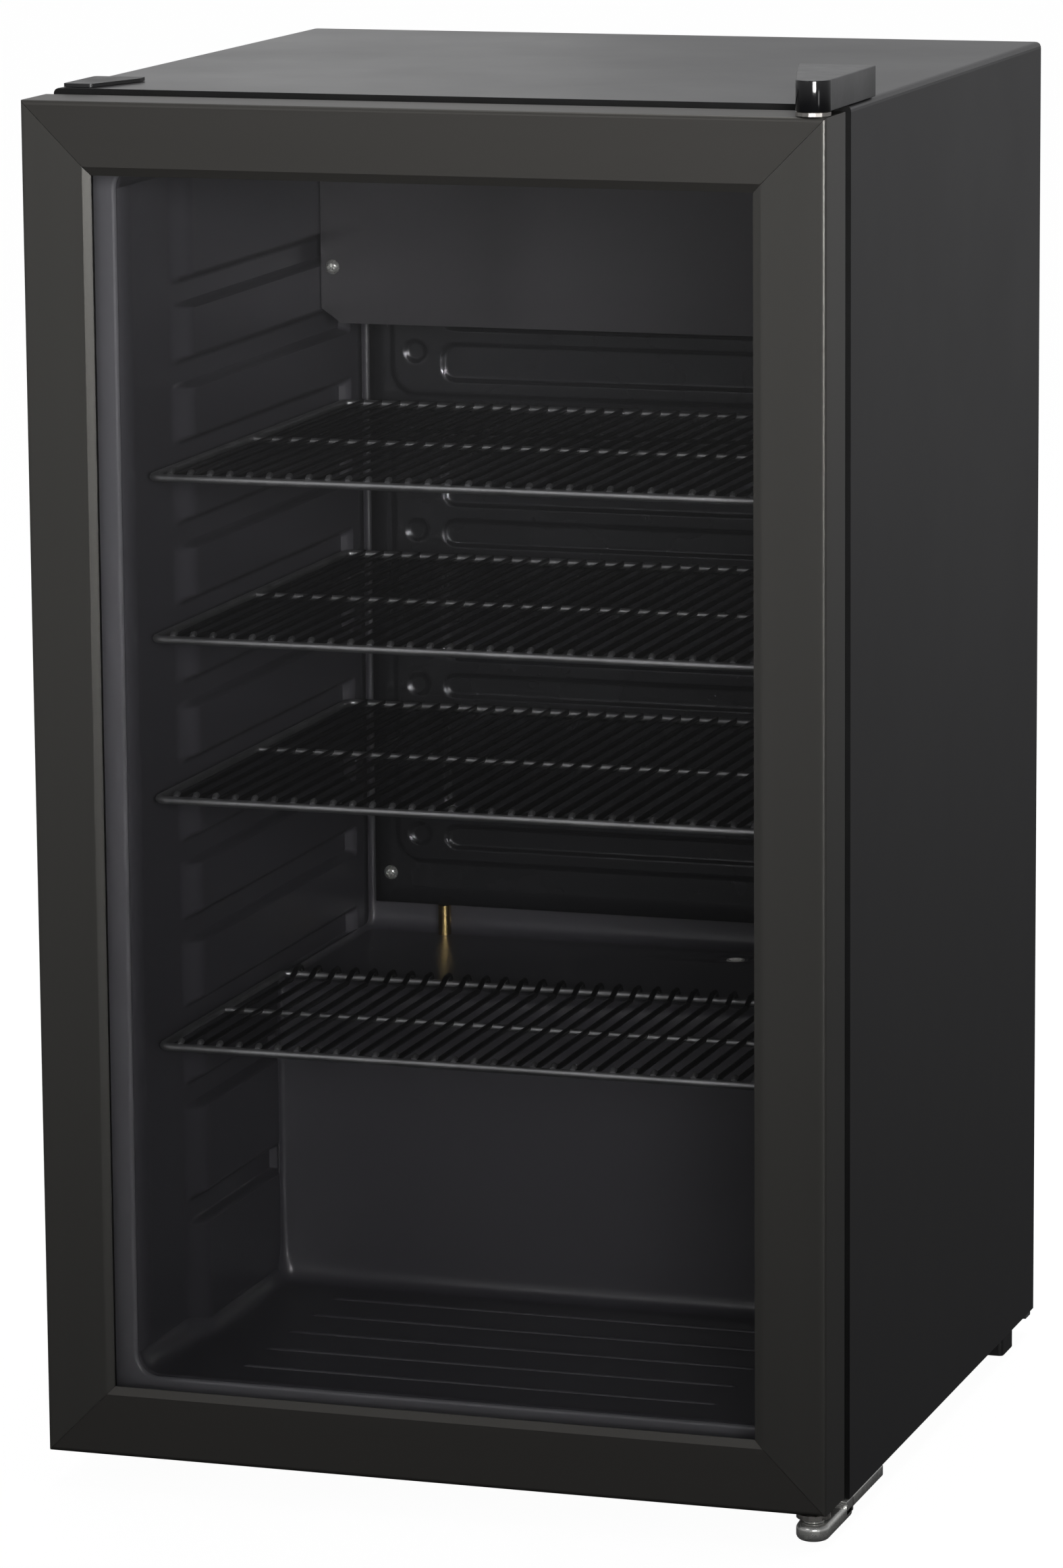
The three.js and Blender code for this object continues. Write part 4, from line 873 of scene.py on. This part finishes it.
def build_condenser():
    line = [Vector((-COIL_HALF, COIL_Y, COIL_LOW))]
    for i in range(COIL_PASSES - 1):
        side = 1 if i % 2 == 0 else -1
        middle = COIL_LOW + (i + 0.5) * COIL_PITCH
        for k in range(13):
            angle = math.pi * k / 12 - math.pi / 2
            line.append(Vector((side * (COIL_HALF + COIL_PITCH / 4 * math.cos(angle)), COIL_Y,
                                middle + COIL_PITCH / 2 * math.sin(angle))))
    line.append(Vector((COIL_HALF, COIL_Y, COIL_LOW + (COIL_PASSES - 1) * COIL_PITCH)))
    low, high = COIL_LOW - 8, COIL_LOW + (COIL_PASSES - 1) * COIL_PITCH + 8
    parts = [sweep(line, COIL_RADIUS, 10)]
    for k in range(-COIL_WIRES, COIL_WIRES + 1):
        x = COIL_WIRE_PITCH * k
        if abs(abs(x) - BRACKET_X) > 10:
            parts.append(sweep([(x, COIL_WIRE_Y, low), (x, COIL_WIRE_Y, high)], 0.65, 6))
    make("condenser_tube_and_wires", "cabinet", "condenser_paint", *gather(parts), smooth=60,
         replaces=["condenser_coil"])
    for side in ("left", "right"):
        node = f"condenser_bracket_{side}"
        low, high = edges(node)
        x = (low.x + high.x) / 2
        rim = high.y - 1.5
        section = [(x - 7, low.y), (x + 7, low.y), (x + 7, rim), (x + 5.6, rim),
                   (x + 5.6, low.y + 1.4), (x - 5.6, low.y + 1.4), (x - 5.6, rim), (x - 7, rim)]
        parts = [prism(section, low.z, high.z)]
        for i in range(COIL_PASSES):
            z = COIL_LOW + i * COIL_PITCH
            parts.append(rounded_block([(a + x, b + z) for a, b in round_profile(
                [(0, -5), (7, -5), (7, 5), (-7, 5), (-7, -5), (0, -5)], 1.5, 3)[:-1]],
                high.y - 1.4, high.y, 0.3, 2, "Y"))
        piece = make(f"{node}_channel", "cabinet", "galvanised", *gather(parts), smooth=35,
                     replaces=[node])
        bevel(piece, 0.3)


def build_pipes():
    x, y = COMPRESSOR
    suction = spline([(-142, 195.2, 267.2), (-142, 195.2, 230), (-142, 195.2, 196), (-142, 195.2, 176),
                      (-136, 185.2, 150), (-122, 165.2, 128), (-92, y + 4, 118), (x - 63.4, y, 116)], 8)
    make("suction_tube_bent", "cabinet", "brass", *sweep(suction, 4.2, 20), smooth=60,
         replaces=["suction_tube"])
    riser, top = COIL_HALF + 24, COIL_LOW + (COIL_PASSES - 1) * COIL_PITCH
    discharge = spline([(x + 63.6, y + 4, 140), (x + 95, y + 10, 142), (170, 184, 150), (206, 219, 165),
                        (riser, 246, 190), (riser, COIL_Y - 1.5, 215), (riser, COIL_Y, 235),
                        (riser, COIL_Y, 260), (riser, COIL_Y, 480), (riser, COIL_Y, top - 22),
                        (riser - 5, COIL_Y, top - 4),
                        (COIL_HALF + 8, COIL_Y, top), (COIL_HALF + 0.3, COIL_Y, top)], 6)
    make("discharge_pipe_round", "cabinet", "copper", *sweep(discharge, COIL_RADIUS, 12), smooth=60,
         replaces=["discharge_pipe"])
    liquid = spline([(-COIL_HALF - 0.6, COIL_Y, COIL_LOW), (-COIL_HALF - 6, COIL_Y, COIL_LOW),
                     (-COIL_HALF - 16, COIL_Y, COIL_LOW - 4), (-COIL_HALF - 22, COIL_Y, COIL_LOW - 16),
                     (-COIL_HALF - 22, 250, 212), (-COIL_HALF - 16, 232, 192), (-196, 202, 182),
                     (DRIER_X, DRIER_Y, 170), (DRIER_X, DRIER_Y, 160.6)], 6)
    make("liquid_line_round", "cabinet", "copper", *sweep(liquid, 2.2, 12), smooth=60,
         replaces=["liquid_line"])
    profile = round_profile([(0.5, 0), (3, 0), (3, 9), (9, 18), (9, 92), (3, 101), (3, 110),
                             (0.5, 110)], 3, 4)
    make("filter_drier_can", "cabinet", "copper", *lathe(profile, (DRIER_X, DRIER_Y, 50), 32),
         smooth=50, replaces=["filter_drier"])


def ring_lathe(profile, centre, sides, axis):
    """A turned ring whose profile closes on itself."""
    vertices, faces = lathe(profile, centre, sides, axis)
    faces = faces[:-2]
    last = (len(profile) - 1) * sides
    faces += [(last + k, last + (k + 1) % sides, (k + 1) % sides, k) for k in range(sides)]
    return vertices, faces


def build_gland():
    low, high = edges("cord_gland")
    cx, cz = (low.x + high.x) / 2, (low.z + high.z) / 2
    profile = [(3.6, 0), (8, 0), (8, 4), (10.6, 4), (11, 4.4), (11, 6.4), (10.4, 7), (8.2, 7.2),
               (7.4, 8.4), (6.6, 9), (4.4, 9), (3.7, 8.6)]
    make("cord_gland_ring", "cabinet", "rubber", *ring_lathe(profile, (cx, low.y, cz), 40, "Y"),
         smooth=40, replaces=["cord_gland"])


# ---------------------------------------------------------------- door gasket
def frame_loop(section, x, low, high):
    """A closed section of (inset, y) points carried round a rectangle with mitred corners."""
    corners = [(-x, low, 1, 1), (x, low, -1, 1), (x, high, -1, -1), (-x, high, 1, -1)]
    count = len(section)
    vertices = [(cx + sx * inset, y, cz + sz * inset) for cx, cz, sx, sz in corners
                for inset, y in section]
    faces = [(i * count + k, i * count + (k + 1) % count, ((i + 1) % 4) * count + (k + 1) % count,
              ((i + 1) % 4) * count + k) for i in range(4) for k in range(count)]
    return vertices, faces


def build_gasket():
    low, high = edges("door_gasket")
    front, back = low.y, high.y
    section = [(0.8, front), (11.7, front), (11.2, front + 1.2), (9.4, front + 2.2),
               (10.9, front + 3.6), (12.3, front + 5), (12.5, back - 2.2), (11.8, back - 0.6),
               (10.6, back), (2.2, back), (0.8, back - 0.7), (0.1, back - 2.2), (0.4, front + 5),
               (1.8, front + 3.6), (2.9, front + 2.4), (1.2, front + 1.3)]
    loop = facing(frame_loop(section, high.x, low.z, high.z), (0, -1, 0))
    make("door_gasket_bellows", "door", "rubber", *loop, smooth=50, replaces=["door_gasket"])


# ---------------------------------------------------------------- stage
def build_floor():
    """A floor that glows to the background's white and stays out of reflections."""
    bpy.ops.mesh.primitive_circle_add(vertices=96, radius=40, fill_type="NGON", location=(0, 0, 0))
    floor = bpy.context.object
    floor.name = "floor"
    material, tree, output = new_tree("floor")
    shader = tree.nodes.new("ShaderNodeBsdfPrincipled")
    shader.inputs["Base Color"].default_value = (0.06, 0.06, 0.06, 1)
    shader.inputs["Roughness"].default_value = 0.9
    shader.inputs["Specular IOR Level"].default_value = 0.1
    shader.inputs["Emission Color"].default_value = (1, 1, 1, 1)
    shader.inputs["Emission Strength"].default_value = 0.97
    link(tree, shader.outputs[0], output.inputs["Surface"])
    floor.data.materials.append(material)
    floor.visible_glossy = False
    floor.visible_diffuse = False


# Grey of the surroundings, from straight down (0) to straight up (1).
WORLD_STOPS = [(0.0, 0.01), (0.35, 0.03), (0.40, 0.07), (0.46, 0.24), (0.56, 0.5), (0.6, 0.68),
               (0.65, 0.3), (1.0, 0.1)]


def build_world():
    """White for the camera, and for everything else a grey that changes with height."""
    world = bpy.data.worlds.new("studio")
    bpy.context.scene.world = world
    world.use_nodes = True
    tree = world.node_tree
    tree.nodes.clear()
    coord = tree.nodes.new("ShaderNodeTexCoord")
    split = tree.nodes.new("ShaderNodeSeparateXYZ")
    link(tree, coord.outputs["Generated"], split.inputs[0])
    ramp = tree.nodes.new("ShaderNodeValToRGB")
    ranged = tree.nodes.new("ShaderNodeMapRange")
    ranged.inputs["From Min"].default_value = -1
    ranged.inputs["From Max"].default_value = 1
    link(tree, split.outputs["Z"], ranged.inputs["Value"])
    link(tree, ranged.outputs[0], ramp.inputs["Fac"])
    elements = ramp.color_ramp.elements
    while len(elements) < len(WORLD_STOPS):
        elements.new(0.5)
    for element, (place, value) in zip(elements, WORLD_STOPS):
        element.position = place
        element.color = (value, value, value * 1.01, 1)
    studio = tree.nodes.new("ShaderNodeBackground")
    link(tree, ramp.outputs["Color"], studio.inputs["Color"])
    studio.inputs["Strength"].default_value = 1.0
    shown = tree.nodes.new("ShaderNodeBackground")
    shown.inputs["Color"].default_value = (0.97, 0.97, 0.97, 1)
    path = tree.nodes.new("ShaderNodeLightPath")
    mix = tree.nodes.new("ShaderNodeMixShader")
    output = tree.nodes.new("ShaderNodeOutputWorld")
    link(tree, path.outputs["Is Camera Ray"], mix.inputs[0])
    link(tree, studio.outputs[0], mix.inputs[1])
    link(tree, shown.outputs[0], mix.inputs[2])
    link(tree, mix.outputs[0], output.inputs["Surface"])


# Name, place, target and size in metres, power in watts and spread in degrees.
LIGHTS = [
    ("key", (-1.5, -3.4, 2.3), (0, 0, 0.7), (1.6, 1.0), 11, 180),
    ("top", (0.2, 0.6, 3.2), (0, 0, 0.8), (2.0, 2.0), 60, 180),
    ("rim", (-2.0, 4.4, 1.7), (0, 0, 0.8), (1.2, 1.0), 0.17, 60),
    ("front", (1.45, -3.4, 1.2), (-0.1, 0, 0.85), (1.3, 0.8), 6.5, 33),
    ("strip", (2.7, -2.3, 0.45), (0, -0.2, 0.7), (0.5, 0.8), 0.8, 90),
]


def soft_light(name, place, target, size, power, beam):
    lamp = bpy.data.lights.new(name, "AREA")
    lamp.shape = "RECTANGLE"
    lamp.size, lamp.size_y = size
    lamp.energy = power
    lamp.spread = math.radians(beam)
    holder = bpy.data.objects.new(name, lamp)
    bpy.context.scene.collection.objects.link(holder)
    holder.location = place
    holder.rotation_mode = "QUATERNION"
    holder.rotation_quaternion = (Vector(target) - Vector(place)).to_track_quat("-Z", "Y")


# The place is in metres, the turn in degrees and the lens in millimetres.
CAMERA_PLACE = (1.268, -3.9163, 1.1789)
CAMERA_TURN = (18.182, 10.845, -0.452)
CAMERA_LENS = 157.82


def build_camera():
    """The photograph's viewpoint; the turn is yaw, pitch and roll in degrees."""
    yaw, pitch, roll = (math.radians(a) for a in CAMERA_TURN)
    forward = Vector((-math.sin(yaw) * math.cos(pitch), math.cos(yaw) * math.cos(pitch),
                      -math.sin(pitch)))
    level = Vector((math.cos(yaw), math.sin(yaw), 0))
    rise = level.cross(forward)
    right = level * math.cos(roll) + rise * math.sin(roll)
    up = rise * math.cos(roll) - level * math.sin(roll)
    data = bpy.data.cameras.new("camera")
    data.lens = CAMERA_LENS
    data.sensor_width = 36
    data.clip_end = 100
    camera = bpy.data.objects.new("camera", data)
    bpy.context.scene.collection.objects.link(camera)
    camera.matrix_world = Matrix.Translation(CAMERA_PLACE) @ Matrix(
        (right, up, -forward)).transposed().to_4x4()
    bpy.context.scene.camera = camera


for number in (1, 2, 3):
    build_shelf(number, short=False)
build_shelf(4, short=True)
build_liner()
build_evaporator()
for part in ("evaporator_screw", "cover_screw"):
    for side in ("left", "right"):
        cross_screw(f"{part}_{side}_head", f"{part}_{side}")
build_hinges()
build_feet()
build_knob()
build_compressor()
build_condenser()
build_pipes()
build_gland()
build_gasket()
finish_nodes()
build_floor()
build_world()
for light in LIGHTS:
    soft_light(*light)
build_camera()
bpy.context.scene.view_settings.view_transform = "Standard"
